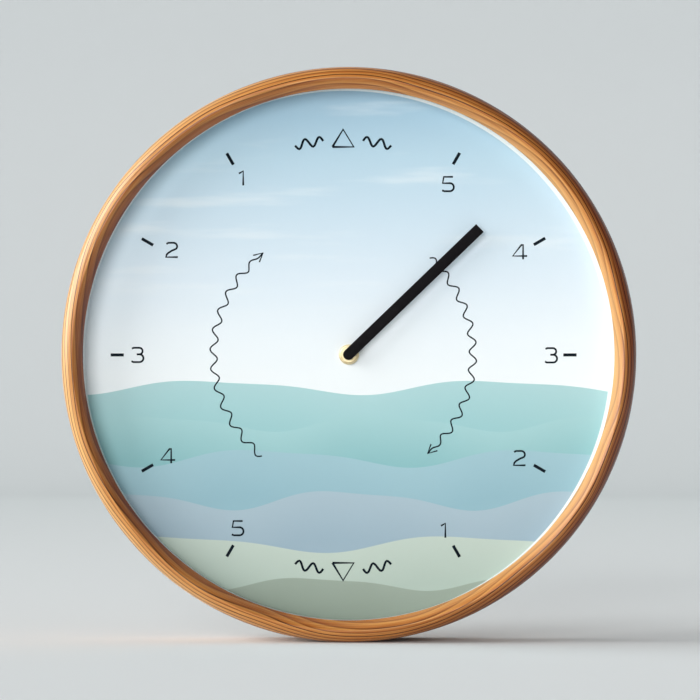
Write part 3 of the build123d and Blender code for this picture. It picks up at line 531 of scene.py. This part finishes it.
@dataclass(frozen=True)
class WoundCopper(Finish):
    """Enamelled copper wire wound on a bobbin, seen as close bright turns along X."""

    wire_mm: float = 0.3
    shadow: str = "#6E2F14"
    shine: str = "#D98A55"
    relief_mm: float = 0.1
    valley_gloss: float = 0.08
    gloss_spread: float = 0.15
    # A wave texture at a scale of 1 repeats after this length
    wave_length: float = 0.314
    wobble: float = 0.6

    def dress(self) -> None:
        """Draw the turns as ridges along the winding, coarser than real so that they show."""
        tree, place = self.start()
        close = self.wave_length / (self.wire_mm * MM)
        pitch = {"Vector": place, "Scale": close, "Distortion": self.wobble}
        turns = add(tree, Kind.WAVE, pitch, bands_direction="X").outputs["Fac"]
        tones = [(0.0, self.shadow), (0.5, self.colour), (1.0, self.shine)]
        colour = add(tree, Kind.RAMP, {0: turns}, tones)
        high = self.roughness + self.valley_gloss
        gloss = add(tree, Kind.MATH, {0: turns, 1: -self.gloss_spread, 2: high}, operation="MULTIPLY_ADD")
        bump = add(tree, Kind.BUMP, {"Height": turns, "Distance": self.relief_mm * MM})
        self.close(tree, {"Base Color": colour, "Roughness": gloss, "Normal": bump})


@dataclass(frozen=True)
class SweptPaper(Finish):
    """Matt background paper, palest on the floor in front and darker towards the wall."""

    near_tone: str = "#E6E9E9"
    far_tone: str = "#DADFDF"
    near_mm: float = 200.0
    wall_mm: float = 2600.0
    far_share: float = 0.7
    grain_mm: float = 1.5
    gloss_spread: float = 0.06

    def dress(self) -> None:
        """Blend from the floor's tones to the wall's by depth, with a faint grain."""
        tree, place = self.start()
        deep = add(tree, Kind.SPLIT, {0: place}).outputs[1]
        span = {"Value": deep, "From Min": self.near_mm * MM, "From Max": self.wall_mm * MM}
        tones = [(0.0, self.near_tone), (self.far_share, self.far_tone), (1.0, self.colour)]
        tone = add(tree, Kind.RAMP, {0: add(tree, Kind.RANGE, span)}, tones)
        fine = 1 / (self.grain_mm * MM)
        grain = add(tree, Kind.NOISE, {"Vector": place, "Scale": fine, "Detail": 2.0})
        low = self.roughness - self.gloss_spread / 2
        gloss = add(tree, Kind.MATH, {0: grain, 1: self.gloss_spread, 2: low}, operation="MULTIPLY_ADD")
        self.close(tree, {"Base Color": tone, "Roughness": gloss, "Specular IOR Level": 0.0})


# Honey-stained pine under satin lacquer: warm, streaked along the ring, softly bright
PINE = LacqueredPine("lacquered_pine", "#AA6224", 0.42)
# Coated printing card: matt, pale, with even gradients
DIAL_CARD = PrintedCard("printed_card", "#C3DAE7", 0.62)
# Float glass: almost unseen from the front
GLASS = FloatGlass("float_glass", "#FCFDFD", 0.03)
# White mounting card: matt and neutral, with a paper tooth
WHITE_CARD = Grained("white_mount_card", "#D6D9D9", 0.7, 0.0, "#DFE1E0", 0.5, 14.0, 0.02)
# Screen ink: a flat blue-black that hides the card
INK = Grained(
    "screen_ink", "#09131B", 0.7, 0.0, "#101C26", 0.25, 6.0, 0.002, 0.04, sheen=0.1, emboss=0.1
)
# Hardboard: pressed brown fibres with a woolly mottle
HARDBOARD = Grained("hardboard", "#7A5637", 0.75, 0.0, "#9A7550", 0.9, 5.0, 0.06)
# Black enamel on sheet aluminium: deep satin with a faint orange peel
ENAMEL = Grained("black_enamel", "#141113", 0.6, 0.0, "#191618", 0.7, 12.0, 0.012, 0.1, sheen=0.06)
# Turned brass: pale gold with bright rings from the lathe
BRASS = TurnedMetal("turned_brass", "#E9D9B6", 0.4, 1.0, "#D9C396")
# Zinc-plated steel: cool grey, slightly cloudy
ZINC = Grained("zinc_plated_steel", "#AEB3B5", 0.36, 1.0, "#C3C8CA", 0.5, 5.0, 0.012, 0.2)
# Nickel-plated spring steel: brighter and smoother
NICKEL = Grained("nickel_spring_steel", "#C4C1B8", 0.26, 1.0, "#D6D3CB", 0.4, 4.0, 0.006, 0.12)
# Nitrile rubber: black and dull
RUBBER = Grained("nitrile_rubber", "#191919", 0.8, 0.0, "#262626", 0.6, 4.0, 0.03)
# Moulded ABS with a spark-eroded texture: black, finely pebbled
ABS = Grained("moulded_black_abs", "#17181A", 0.55, 0.0, "#222427", 0.55, 10.0, 0.035, 0.16)
# Moulded acetal: milky white, waxy, softly shining
ACETAL = Grained("white_acetal", "#E4E1D8", 0.4, 0.0, "#EFEDE6", 0.7, 5.0, 0.008)
# Blanked soft iron: dark grey with rolling streaks along X
IRON = Grained(
    "blanked_soft_iron", "#6B6C6D", 0.42, 1.0, "#85878A", 0.5, 5.0, 0.012, 0.18, (0.15, 1.0, 1.0)
)
# Sintered ferrite: charcoal, dull, slightly sparkling
FERRITE = Grained("sintered_ferrite", "#2C2C2E", 0.6, 0.2, "#3C3C3F", 0.3, 3.0, 0.03)
# Enamelled copper wire: bright ridges
COPPER = WoundCopper("enamelled_copper_wire", "#B4632F", 0.32, 1.0)
# Solder mask on glass-epoxy board: glossy green over a woven ground
GREEN_BOARD = Grained("green_solder_mask", "#1E5B34", 0.32, 0.0, "#2A6E41", 0.5, 3.0, 0.01)
# Dropped epoxy: black and glossy
EPOXY = Grained("black_epoxy_drop", "#101011", 0.22, 0.0, "#18181A", 0.8, 3.0, 0.01)
# Printed foil jacket of a dry cell: dark satin with a copper band, bright at the ends
JACKET = CellJacket("cell_foil_jacket", "#2B3338", 0.34, 0.5)
# Background paper: dead matt, a cool pale grey
PAPER = SweptPaper("background_paper", "#C2C6C7", 0.9)


@dataclass
class Bench:
    """Where pieces are modelled: a start, edit-mode strokes, and a finished piece.

    Bends under `flat` degrees are dissolved, those over `sharp` degrees are eased, and points closer
    than `weld` metres are joined.
    """

    sharp: float = 35.0
    flat: float = 0.5
    weld: float = 1e-6

    def clear(self) -> None:
        """Leave edit mode with nothing selected."""
        if bpy.context.object and bpy.context.object.mode != "OBJECT":
            bpy.ops.object.mode_set(mode="OBJECT")
        bpy.ops.object.select_all(action="DESELECT")

    def point(self, place: Vector) -> bpy.types.Object:
        """Start a wire from one point.

        Args:
            place: where the point is.

        Returns:
            The object, in edit mode, with the point selected.
        """
        self.clear()
        bpy.ops.mesh.primitive_plane_add(size=1 * MM, location=(0, 0, 0))
        piece = bpy.context.object
        bpy.ops.object.mode_set(mode="EDIT")
        bpy.ops.mesh.select_all(action="SELECT")
        bpy.ops.mesh.merge(type="CENTER")
        bpy.ops.transform.translate(value=place)
        return piece

    def wire(self, points: list[Vector]) -> bpy.types.Object:
        """Draw a wire through points, one extrusion after another.

        Args:
            points: places along the wire.

        Returns:
            The object, in edit mode.
        """
        piece = self.point(points[0])
        for before, after in zip(points, points[1:]):
            bpy.ops.mesh.extrude_region_move(TRANSFORM_OT_translate={"value": after - before})
        return piece

    def turned(self, profile: Sequence[Point], steps: int) -> bpy.types.Object:
        """Spin a closed profile about the Y axis.

        Args:
            profile: corners as radius and y, in mm, around the section.
            steps: divisions of the turn.

        Returns:
            The object, in object mode.
        """
        piece = self.wire([Vector((r * MM, y * MM, 0)) for r, y in [*profile, profile[0]]])
        bpy.ops.mesh.select_all(action="SELECT")
        bpy.ops.mesh.remove_doubles(threshold=self.weld / 10)
        bpy.ops.mesh.select_all(action="SELECT")
        bpy.ops.mesh.spin(steps=steps, angle=2 * math.pi, center=(0, 0, 0), axis=(0, 1, 0))
        bpy.ops.mesh.select_all(action="SELECT")
        bpy.ops.mesh.remove_doubles(threshold=self.weld)
        bpy.ops.mesh.normals_make_consistent(inside=False)
        bpy.ops.object.mode_set(mode="OBJECT")
        return piece

    def copy(self, node: str) -> bpy.types.Object:
        """Copy a node of the frame, with its triangles joined into whole faces.

        Args:
            node: name of the node.

        Returns:
            The copy, in object mode.
        """
        self.clear()
        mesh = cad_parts[node].data.copy()
        piece = bpy.data.objects.new(node, mesh)
        bpy.context.scene.collection.objects.link(piece)
        piece.select_set(True)
        bpy.context.view_layer.objects.active = piece
        bpy.ops.object.mode_set(mode="EDIT")
        bpy.ops.mesh.select_all(action="SELECT")
        bpy.ops.mesh.remove_doubles(threshold=self.weld * 2)
        bpy.ops.mesh.dissolve_limited(angle_limit=math.radians(self.flat))
        bpy.ops.object.mode_set(mode="OBJECT")
        return piece

    def ease(self, piece: bpy.types.Object, width_mm: float, segments: int = 2) -> None:
        """Round the sharp edges of a piece.

        Args:
            piece: the object.
            width_mm: width of the rounding.
            segments: faces across the rounding.
        """
        self.clear()
        piece.select_set(True)
        bpy.context.view_layer.objects.active = piece
        bevel = piece.modifiers.new("ease", "BEVEL")
        bevel.width = width_mm * MM
        bevel.segments = segments
        bevel.limit_method = "ANGLE"
        bevel.angle_limit = math.radians(self.sharp)
        bevel.use_clamp_overlap = True
        bpy.ops.object.modifier_apply(modifier=bevel.name)

    def keep(
        self,
        piece: bpy.types.Object,
        name: str,
        finish: Finish,
        body: Body,
        nodes: tuple[str, ...] = (),
        smooth: float = 30.0,
    ) -> None:
        """Name, shade and dress a piece, and seat it on its body.

        Args:
            piece: the object.
            name: the piece's name.
            finish: the surface finish.
            body: what the piece rides on.
            nodes: CAD nodes that the piece stands for.
            smooth: angle in degrees under which faces shade as one.
        """
        self.clear()
        piece.name = piece.data.name = name
        piece.select_set(True)
        bpy.context.view_layer.objects.active = piece
        bpy.ops.object.shade_smooth_by_angle(angle=math.radians(smooth))
        piece.data.materials.clear()
        piece.data.materials.append(finish.material())
        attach(piece, body.value)
        if nodes:
            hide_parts(*nodes)
        LOG.info("%s: %d faces, rides on %s", name, len(piece.data.polygons), body.value)


BENCH = Bench()


def arc(centre: Point, radius: float, first: float, last: float, steps: int) -> list[Point]:
    """Return points along an arc.

    Args:
        centre: middle of the arc.
        radius: its radius.
        first: angle of the first point, in degrees.
        last: angle of the last point, in degrees.
        steps: divisions of the arc.

    Returns:
        The points, ends included.
    """
    turns = [math.radians(first + (last - first) * i / steps) for i in range(steps + 1)]
    return [(centre[0] + radius * math.cos(t), centre[1] + radius * math.sin(t)) for t in turns]


@dataclass
class Case:
    """The wooden ring with its white spacer, its glass, its board and its points (mm)."""

    outer: float = 150.0
    opening: float = 138.5
    rebate: float = 142.9
    front: float = -22.2
    back: float = 22.2
    lip: float = -17.2
    lip_back: float = -15.8
    shoulder: float = 8.0
    shoulder_level: float = -14.43
    crest_radius: float = 143.78
    crest_round: float = 0.9
    crest_bearings: Point = (-135.6, -75.5)
    back_round: float = 2.2
    rebate_ease: float = 0.5
    lip_front_ease: Point = (0.12, 0.1)
    lip_rear_ease: Point = (0.35, 0.3)
    lip_drop: float = 0.2
    spacer_inner: float = 138.9
    spacer_outer: float = 142.6
    spacer_front: float = -13.8
    spacer_back: float = -4.8
    spacer_ease: float = 0.25
    tab_ease: float = 0.15
    ring_steps: int = 288
    spacer_steps: int = 256

    def section(self) -> list[Point]:
        """Return the ring's section as radius and y, from the lip over the crest to the back."""
        first, last = self.crest_bearings
        crest = (self.crest_radius, self.front + self.crest_round)
        rounded = arc(crest, self.crest_round, first, last, 8)
        middle = (self.outer - self.shoulder, self.shoulder_level)
        over = arc(middle, self.shoulder, last, 0, 20)[1:]
        corner = (self.outer - self.back_round, self.back - self.back_round)
        heel = arc(corner, self.back_round, 0, 90, 8)
        lip = [
            (self.rebate, self.lip_back),
            (self.opening + self.lip_rear_ease[0], self.lip_back),
            (self.opening, self.lip_back - self.lip_rear_ease[1]),
            (self.opening, self.lip + self.lip_drop),
            (self.opening + self.lip_front_ease[0], self.lip - self.lip_front_ease[1]),
        ]
        rear = [(self.rebate + self.rebate_ease, self.back), (self.rebate, self.back - self.rebate_ease)]
        return [*lip, *rounded, *over, *heel, *rear]

    def build(self) -> None:
        """Turn the ring and the spacer, and dress what the ring holds."""
        ring = BENCH.turned(self.section(), self.ring_steps)
        BENCH.keep(ring, "turned_ring", PINE, Body.CASE, ("case_ring",), 40)
        soft = self.spacer_ease
        spacer = [
            (self.spacer_inner + soft, self.spacer_front),
            (self.spacer_inner, self.spacer_front + soft),
            (self.spacer_inner, self.spacer_back - soft),
            (self.spacer_inner + soft, self.spacer_back),
            (self.spacer_outer, self.spacer_back),
            (self.spacer_outer, self.spacer_front),
        ]
        wall = BENCH.turned(spacer, self.spacer_steps)
        BENCH.keep(wall, "white_spacer", WHITE_CARD, Body.CASE, ("spacer_ring",), 50)
        dress("lens", GLASS)
        dress("dial", DIAL_CARD)
        dress("dial_board", HARDBOARD)
        tabs = BENCH.copy("retaining_tabs")
        BENCH.ease(tabs, self.tab_ease)
        BENCH.keep(tabs, "framers_points", ZINC, Body.CASE, ("retaining_tabs",))


def dress(node: str, finish: Finish) -> None:
    """Give a node of the frame a finish.

    Args:
        node: name of the node.
        finish: the surface finish.
    """
    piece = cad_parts[node]
    if not piece.material_slots:
        piece.data.materials.append(finish.material())
    for place in piece.material_slots:
        place.material = finish.material()
    LOG.info("%s: %s", node, finish.name)


@dataclass
class DialMarks:
    """Hour ticks, plain numbers and tide marks, printed on the dial (mm and degrees)."""

    level: float = -4.83
    tick_radius: float = 118.7
    tick_length: float = 6.9
    tick_width: float = 1.6
    number_radius: float = 106.2
    side_number_radius: float = 108.0
    number_height: float = 7.5
    number_stroke: float = 1.0
    mark_radius: float = 113.0
    mark_stroke: float = 1.2
    mark_half: float = 5.6
    mark_foot: float = 4.0
    mark_tip: float = 5.2
    ripple_start: float = 10.5
    ripple_length: float = 15.0
    ripple_rise: float = 2.3
    ripple_drop: float = 0.4
    ripple_count: int = 2
    flow_radius: float = 68.0
    flow_stroke: float = 0.75
    flow_rise: float = 1.9
    flow_count: int = 12
    flow_taper: float = 0.1
    flow_head: Point = (4.0, 2.4)
    left_flow: Point = (218.8, 321.9)
    right_flow: Point = (41.8, 139.4)
    ink: float = 0.03
    centre: Point = (-3.0, -0.2)
    nudges: dict[int, Point] = field(
        default_factory=lambda: {
            1: (1.9, -2.5), 2: (0.6, 0.7), 3: (0.9, -0.2), 4: (0.4, -0.9),
            7: (-2.2, 1.1), 10: (2.0, 2.0), 11: (0.2, 0.7),
        }
    )

    def digits(self) -> dict[str, list[list[Point]]]:
        """Return each number's strokes in a box 1 high, about its middle."""
        three = [(-0.4, 0.45), (-0.26, 0.5)] + arc((0.12, 0.27), 0.23, 90, -90, 12)
        three += [(-0.06, 0.04)] + arc((0.14, -0.23), 0.27, 90, -90, 14) + [(-0.3, -0.5), (-0.43, -0.44)]
        two = [(-0.38, 0.42), (-0.24, 0.5)] + arc((0.12, 0.25), 0.25, 90, -45, 12)
        two += [(0.02, -0.04), (-0.24, -0.2), (-0.36, -0.32), (-0.41, -0.5), (0.42, -0.5)]
        five = [(0.34, 0.5), (-0.3, 0.5), (-0.38, 0.06)] + arc((0.12, -0.22), 0.28, 90, -90, 14)
        five += [(-0.26, -0.5), (-0.42, -0.44)]
        return {
            "1": [[(-0.24, 0.33), (0.06, 0.5), (0.06, -0.5)]],
            "2": [two],
            "3": [three],
            "4": [[(0.5, -0.27), (-0.5, -0.27), (0.1, 0.5), (0.22, 0.5), (0.22, -0.5)]],
            "5": [five],
        }

    def spot(self, bearing: float, radius: float) -> Point:
        """Return the place at a clockwise bearing from the top."""
        turn = math.radians(bearing)
        return (self.centre[0] + radius * math.sin(turn), self.centre[1] + radius * math.cos(turn))

    def strokes(self, name: str, lines: list[list[Point]], width: float) -> None:
        """Lay lines on the dial as flat strokes of ink.

        Args:
            name: the piece's name.
            lines: points of each line as x and z, in mm.
            width: width of the stroke in mm.
        """
        BENCH.clear()
        bpy.ops.curve.primitive_nurbs_path_add(location=(0, 0, 0))
        piece = bpy.context.object
        shape = piece.data
        shape.splines.clear()
        for line in lines:
            spline = shape.splines.new("POLY")
            spline.points.add(len(line) - 1)
            for point, (x, z) in zip(spline.points, line):
                point.co = (x * MM, 0.0, z * MM, 1.0)
        shape.dimensions = "3D"
        shape.bevel_depth = width * MM / 2
        shape.bevel_resolution = 2
        shape.use_fill_caps = True
        bpy.ops.object.convert(target="MESH")
        piece = bpy.context.object
        bpy.ops.object.mode_set(mode="EDIT")
        bpy.ops.mesh.select_all(action="SELECT")
        bpy.ops.transform.resize(value=(1, self.ink * 2 / width, 1), center_override=(0, 0, 0))
        bpy.ops.transform.translate(value=(0, self.level * MM, 0))
        bpy.ops.mesh.normals_make_consistent(inside=False)
        bpy.ops.object.mode_set(mode="OBJECT")
        BENCH.keep(piece, name, INK, Body.CASE)

    def tide_mark(self, bearing: float, up: float) -> list[list[Point]]:
        """Return the lines of a tide mark: an arrowhead between two short waves.

        Args:
            bearing: where the mark stands, clockwise from the top.
            up: 1 for an arrowhead that points up and -1 for one that points down.

        Returns:
            The mark's lines.
        """
        x, z = self.spot(bearing, self.mark_radius)
        foot = z - self.mark_foot * up
        left, right = (x - self.mark_half, foot), (x + self.mark_half, foot)
        lines = [[left, (x, z + self.mark_tip * up), right, left]]
        steps = 12 * self.ripple_count
        for side in (-1, 1):
            wave = []
            for step in range(steps + 1):
                along = self.ripple_start + self.ripple_length * step / steps
                turn = bearing + side * up * math.degrees(along / self.mark_radius)
                rise = self.ripple_rise * math.sin(2 * math.pi * self.ripple_count * step / steps)
                wave.append(self.spot(turn, self.mark_radius + rise - self.ripple_drop))
            lines.append(wave)
        return lines

    def flow(self, first: float, last: float) -> list[list[Point]]:
        """Return a thin wave along an arc that ends in an arrowhead.

        Args:
            first: bearing where the wave starts.
            last: bearing of the arrowhead's tip.

        Returns:
            The lines.
        """
        steps = 18 * self.flow_count
        wave = []
        for step in range(steps + 1):
            share = step / steps
            taper = min(1.0, (1 - share) / self.flow_taper)
            rise = self.flow_rise * taper * math.sin(2 * math.pi * self.flow_count * share)
            wave.append(self.spot(first + (last - first) * share, self.flow_radius + rise))
        length, half = self.flow_head
        back = last - math.copysign(length, last - first)
        head = [
            self.spot(back, self.flow_radius + half),
            self.spot(last, self.flow_radius),
            self.spot(back, self.flow_radius - half),
        ]
        return [wave, head]

    def build(self) -> None:
        """Print the ticks, the numbers and the tide marks."""
        half = self.tick_length / 2
        ticks = [
            [self.spot(b, self.tick_radius - half), self.spot(b, self.tick_radius + half)]
            for b in range(0, 360, 30)
            if b % 180
        ]
        self.strokes("hour_ticks", ticks, self.tick_width)
        shapes = self.digits()
        tall = self.number_height
        lines = []
        for hour in range(12):
            if hour % 6:
                x, z = self.spot(hour * 30, self.number_radius if hour % 3 else self.side_number_radius)
                aside, up = self.nudges.get(hour, (0.0, 0.0))
                x, z = x + aside, z + up
                for line in shapes[str(6 - hour % 6)]:
                    lines.append([(x + u * tall, z + v * tall) for u, v in line])
        self.strokes("hour_numbers", lines, self.number_stroke)
        marks = self.tide_mark(0, 1) + self.tide_mark(180, -1)
        self.strokes("tide_marks", marks, self.mark_stroke)
        flows = self.flow(*self.left_flow) + self.flow(*self.right_flow)
        self.strokes("tide_flow", flows, self.flow_stroke)


@dataclass
class Hand:
    """The black hand, its brass collet and the brass nut around its pivot (mm and degrees)."""

    reach: float = 95.3
    width: float = 5.7
    thickness: float = 0.8
    back: float = -9.7
    bearing: float = 46.1
    ease: float = 0.18
    tail_steps: int = 96
    nut_steps: int = 96
    nut: tuple[Point, ...] = (
        (4.02, -5.2), (4.02, -7.15), (4.25, -7.4), (4.55, -7.4), (4.9, -7.22),
        (5.06, -6.95), (5.1, -6.7), (5.1, -5.4), (4.95, -5.2),
    )
    washer: tuple[Point, ...] = (
        (4.2, -4.8), (4.2, -5.15), (4.25, -5.2), (5.22, -5.2), (5.3, -5.1), (5.3, -4.8),
    )

    def bar(self) -> bpy.types.Object:
        """Model the bar from a disc cut in half and drawn out to the tip, and return it."""
        BENCH.clear()
        bpy.ops.mesh.primitive_circle_add(
            vertices=self.tail_steps,
            radius=self.width / 2 * MM,
            fill_type="NGON",
            rotation=(math.pi / 2, 0, 0),
        )
        piece = bpy.context.object
        bpy.ops.object.transform_apply(rotation=True)
        bpy.ops.object.mode_set(mode="EDIT")
        bpy.ops.mesh.select_all(action="SELECT")
        bpy.ops.mesh.bisect(plane_co=(0, 0, 0), plane_no=(1, 0, 0), clear_outer=True)
        bpy.ops.mesh.select_all(action="DESELECT")
        bpy.ops.object.mode_set(mode="OBJECT")
        for edge in piece.data.edges:
            ends = [piece.data.vertices[i].co.x for i in edge.vertices]
            edge.select = max(abs(x) for x in ends) < BENCH.weld
        bpy.ops.object.mode_set(mode="EDIT")
        bpy.ops.mesh.select_mode(type="EDGE")
        bpy.ops.mesh.extrude_edges_move(TRANSFORM_OT_translate={"value": (self.reach * MM, 0, 0)})
        bpy.ops.mesh.select_all(action="SELECT")
        bpy.ops.mesh.dissolve_limited(angle_limit=math.radians(BENCH.flat))
        bpy.ops.mesh.select_all(action="SELECT")
        forward = (0, -self.thickness * MM, 0)
        bpy.ops.mesh.extrude_region_move(TRANSFORM_OT_translate={"value": forward})
        bpy.ops.mesh.select_all(action="SELECT")
        bpy.ops.mesh.normals_make_consistent(inside=False)
        bpy.ops.mesh.select_mode(type="VERT")
        bpy.ops.object.mode_set(mode="OBJECT")
        BENCH.ease(piece, self.ease, 3)
        turn = Matrix.Rotation(math.radians(self.bearing - 90), 4, "Y")
        piece.data.transform(Matrix.Translation((0, self.back * MM, 0)) @ turn)
        return piece

    def build(self) -> None:
        """Make the hand and the brass pieces at its pivot."""
        BENCH.keep(self.bar(), "bar_hand", ENAMEL, Body.HAND, ("tide_hand",), 40)
        nut = BENCH.turned(self.nut, self.nut_steps)
        BENCH.keep(nut, "dial_nut", BRASS, Body.CASE, ("bush_nut",))
        washer = BENCH.turned(self.washer, self.nut_steps)
        BENCH.keep(washer, "nut_washer", BRASS, Body.CASE, ("dial_washer",))
        dress("threaded_bush", BRASS)
        dress("hand_collet", BRASS)


@dataclass
class Movement:
    """The quartz movement behind the dial, with its hanger, its knob and its cell (mm)."""

    housing_ease: float = 0.35
    hanger_ease: float = 0.25
    knob_ease: float = 0.2
    cell_ease: float = 0.3
    works: dict[Finish, tuple[str, ...]] = field(
        default_factory=lambda: {
            RUBBER: ("bush_gasket",),
            ACETAL: (
                "tide_wheel", "drive_arbor", "clutch_wheel", "third_wheel", "second_wheel",
                "first_wheel", "rotor_pinion", "coil_bobbin", "setting_arbor",
            ),
            NICKEL: ("clutch_spring", "quartz_crystal", "contact_positive", "contact_negative"),
            FERRITE: ("rotor_magnet",),
            IRON: ("stator", "coil_core"),
            COPPER: ("coil_winding",),
            GREEN_BOARD: ("circuit_board",),
            EPOXY: ("driver_chip",),
        }
    )

    def build(self) -> None:
        """Ease and dress the outer pieces, and dress the works inside."""
        for node, name in (("movement_base", "housing_front"), ("movement_cover", "housing_rear")):
            shell = BENCH.copy(node)
            BENCH.ease(shell, self.housing_ease, 3)
            BENCH.keep(shell, name, ABS, Body.CASE, (node,))
        hanger = BENCH.copy("wall_hanger")
        BENCH.ease(hanger, self.hanger_ease, 3)
        BENCH.keep(hanger, "keyhole_hanger", ZINC, Body.CASE, ("wall_hanger",))
        knob = BENCH.copy("setting_knob")
        BENCH.ease(knob, self.knob_ease)
        BENCH.keep(knob, "hand_setter", ABS, Body.SETTING, ("setting_knob",), 25)
        cell = BENCH.copy("battery_cell")
        BENCH.ease(cell, self.cell_ease, 3)
        BENCH.keep(cell, "dry_cell", JACKET, Body.BATTERY, ("battery_cell",))
        for finish, nodes in self.works.items():
            for node in nodes:
                dress(node, finish)


@dataclass(frozen=True)
class Lamp:
    """A far soft lamp: where it is and how wide in degrees, and its watts per square metre."""

    name: str
    bearing: float
    height: float
    strength: float
    spread: float


@dataclass
class Studio:
    """A pale cove, soft light from the left, and the camera at the photograph's angle (m and degrees)."""

    floor: float = -0.15
    wall: float = 2.6
    bend: float = 0.55
    bend_steps: int = 24
    half_width: float = 6.0
    near: float = -4.0
    top: float = 6.0
    air: str = "#F2F5F8"
    air_strength: float = 0.17
    key: Lamp = Lamp("side_key", -82, 17, 4.6, 56)
    fill: Lamp = Lamp("front_fill", -17, 11, 1.72, 36)
    lamp_distance: float = 3.0
    distance: float = 2.0
    azimuth: float = 2.0
    elevation: float = 0.0
    lens: float = 195.8
    sensor: float = 36.0
    shift: Point = (0.0012, 0.0065)
    clip: Point = (0.1, 50.0)

    def aim(self, thing: bpy.types.Object, bearing: float, height: float, distance: float) -> None:
        """Put a lamp or a camera in the scene, and turn it to the clock.

        Args:
            thing: the lamp or the camera.
            bearing: degrees to the right of the clock's front; negative is to the left.
            height: degrees above the clock's middle.
            distance: metres from the clock's middle.
        """
        bpy.context.scene.collection.objects.link(thing)
        a, e = math.radians(bearing), math.radians(height)
        away = Vector((math.sin(a) * math.cos(e), -math.cos(a) * math.cos(e), math.sin(e)))
        thing.location = away * distance
        thing.rotation_euler = (-away).to_track_quat("-Z", "Y").to_euler()

    def light(self, lamp: Lamp) -> None:
        """Light the clock from far off, softly."""
        light = bpy.data.lights.new(lamp.name, "SUN")
        light.energy = lamp.strength
        light.angle = math.radians(lamp.spread)
        thing = bpy.data.objects.new(lamp.name, light)
        self.aim(thing, lamp.bearing, lamp.height, self.lamp_distance)

    def cove(self) -> None:
        """Sweep the paper from the floor up behind the clock."""
        start = self.wall - self.bend
        curve = arc((start, self.floor + self.bend), self.bend, -90, 0, self.bend_steps)[1:]
        section = [(self.near, self.floor), (start, self.floor), *curve, (self.wall, self.top)]
        cove = BENCH.wire([Vector((-self.half_width, y, z)) for y, z in section])
        bpy.ops.mesh.select_all(action="SELECT")
        across = (2 * self.half_width, 0, 0)
        bpy.ops.mesh.extrude_edges_move(TRANSFORM_OT_translate={"value": across})
        bpy.ops.mesh.select_all(action="SELECT")
        bpy.ops.mesh.normals_make_consistent(inside=False)
        bpy.ops.object.mode_set(mode="OBJECT")
        bpy.ops.object.shade_smooth()
        cove.name = "paper_cove"
        cove.data.materials.append(PAPER.material())

    def build(self) -> None:
        """Set the cove, the light and the camera."""
        self.cove()
        scene = bpy.context.scene
        scene.view_settings.view_transform = "Standard"
        world = bpy.data.worlds.new("studio_air")
        scene.world = world
        world.use_nodes = True
        glow = world.node_tree.nodes["Background"].inputs
        glow["Color"].default_value = srgb(self.air)
        glow["Strength"].default_value = self.air_strength
        self.light(self.key)
        self.light(self.fill)
        camera = bpy.data.objects.new("camera", bpy.data.cameras.new("camera"))
        self.aim(camera, self.azimuth, self.elevation, self.distance)
        scene.camera = camera
        camera.data.lens = self.lens
        camera.data.sensor_width = self.sensor
        camera.data.shift_x, camera.data.shift_y = self.shift
        camera.data.clip_start, camera.data.clip_end = self.clip


def main() -> None:
    """Build the clock and its studio in order."""
    logging.basicConfig(level=logging.INFO, format="%(name)s %(message)s")
    bpy.ops.object.select_all(action="DESELECT")
    for assembly in (Case(), DialMarks(), Hand(), Movement(), Studio()):
        assembly.build()
        LOG.info("%s done", type(assembly).__name__)


if __name__ == "__main__":
    main()
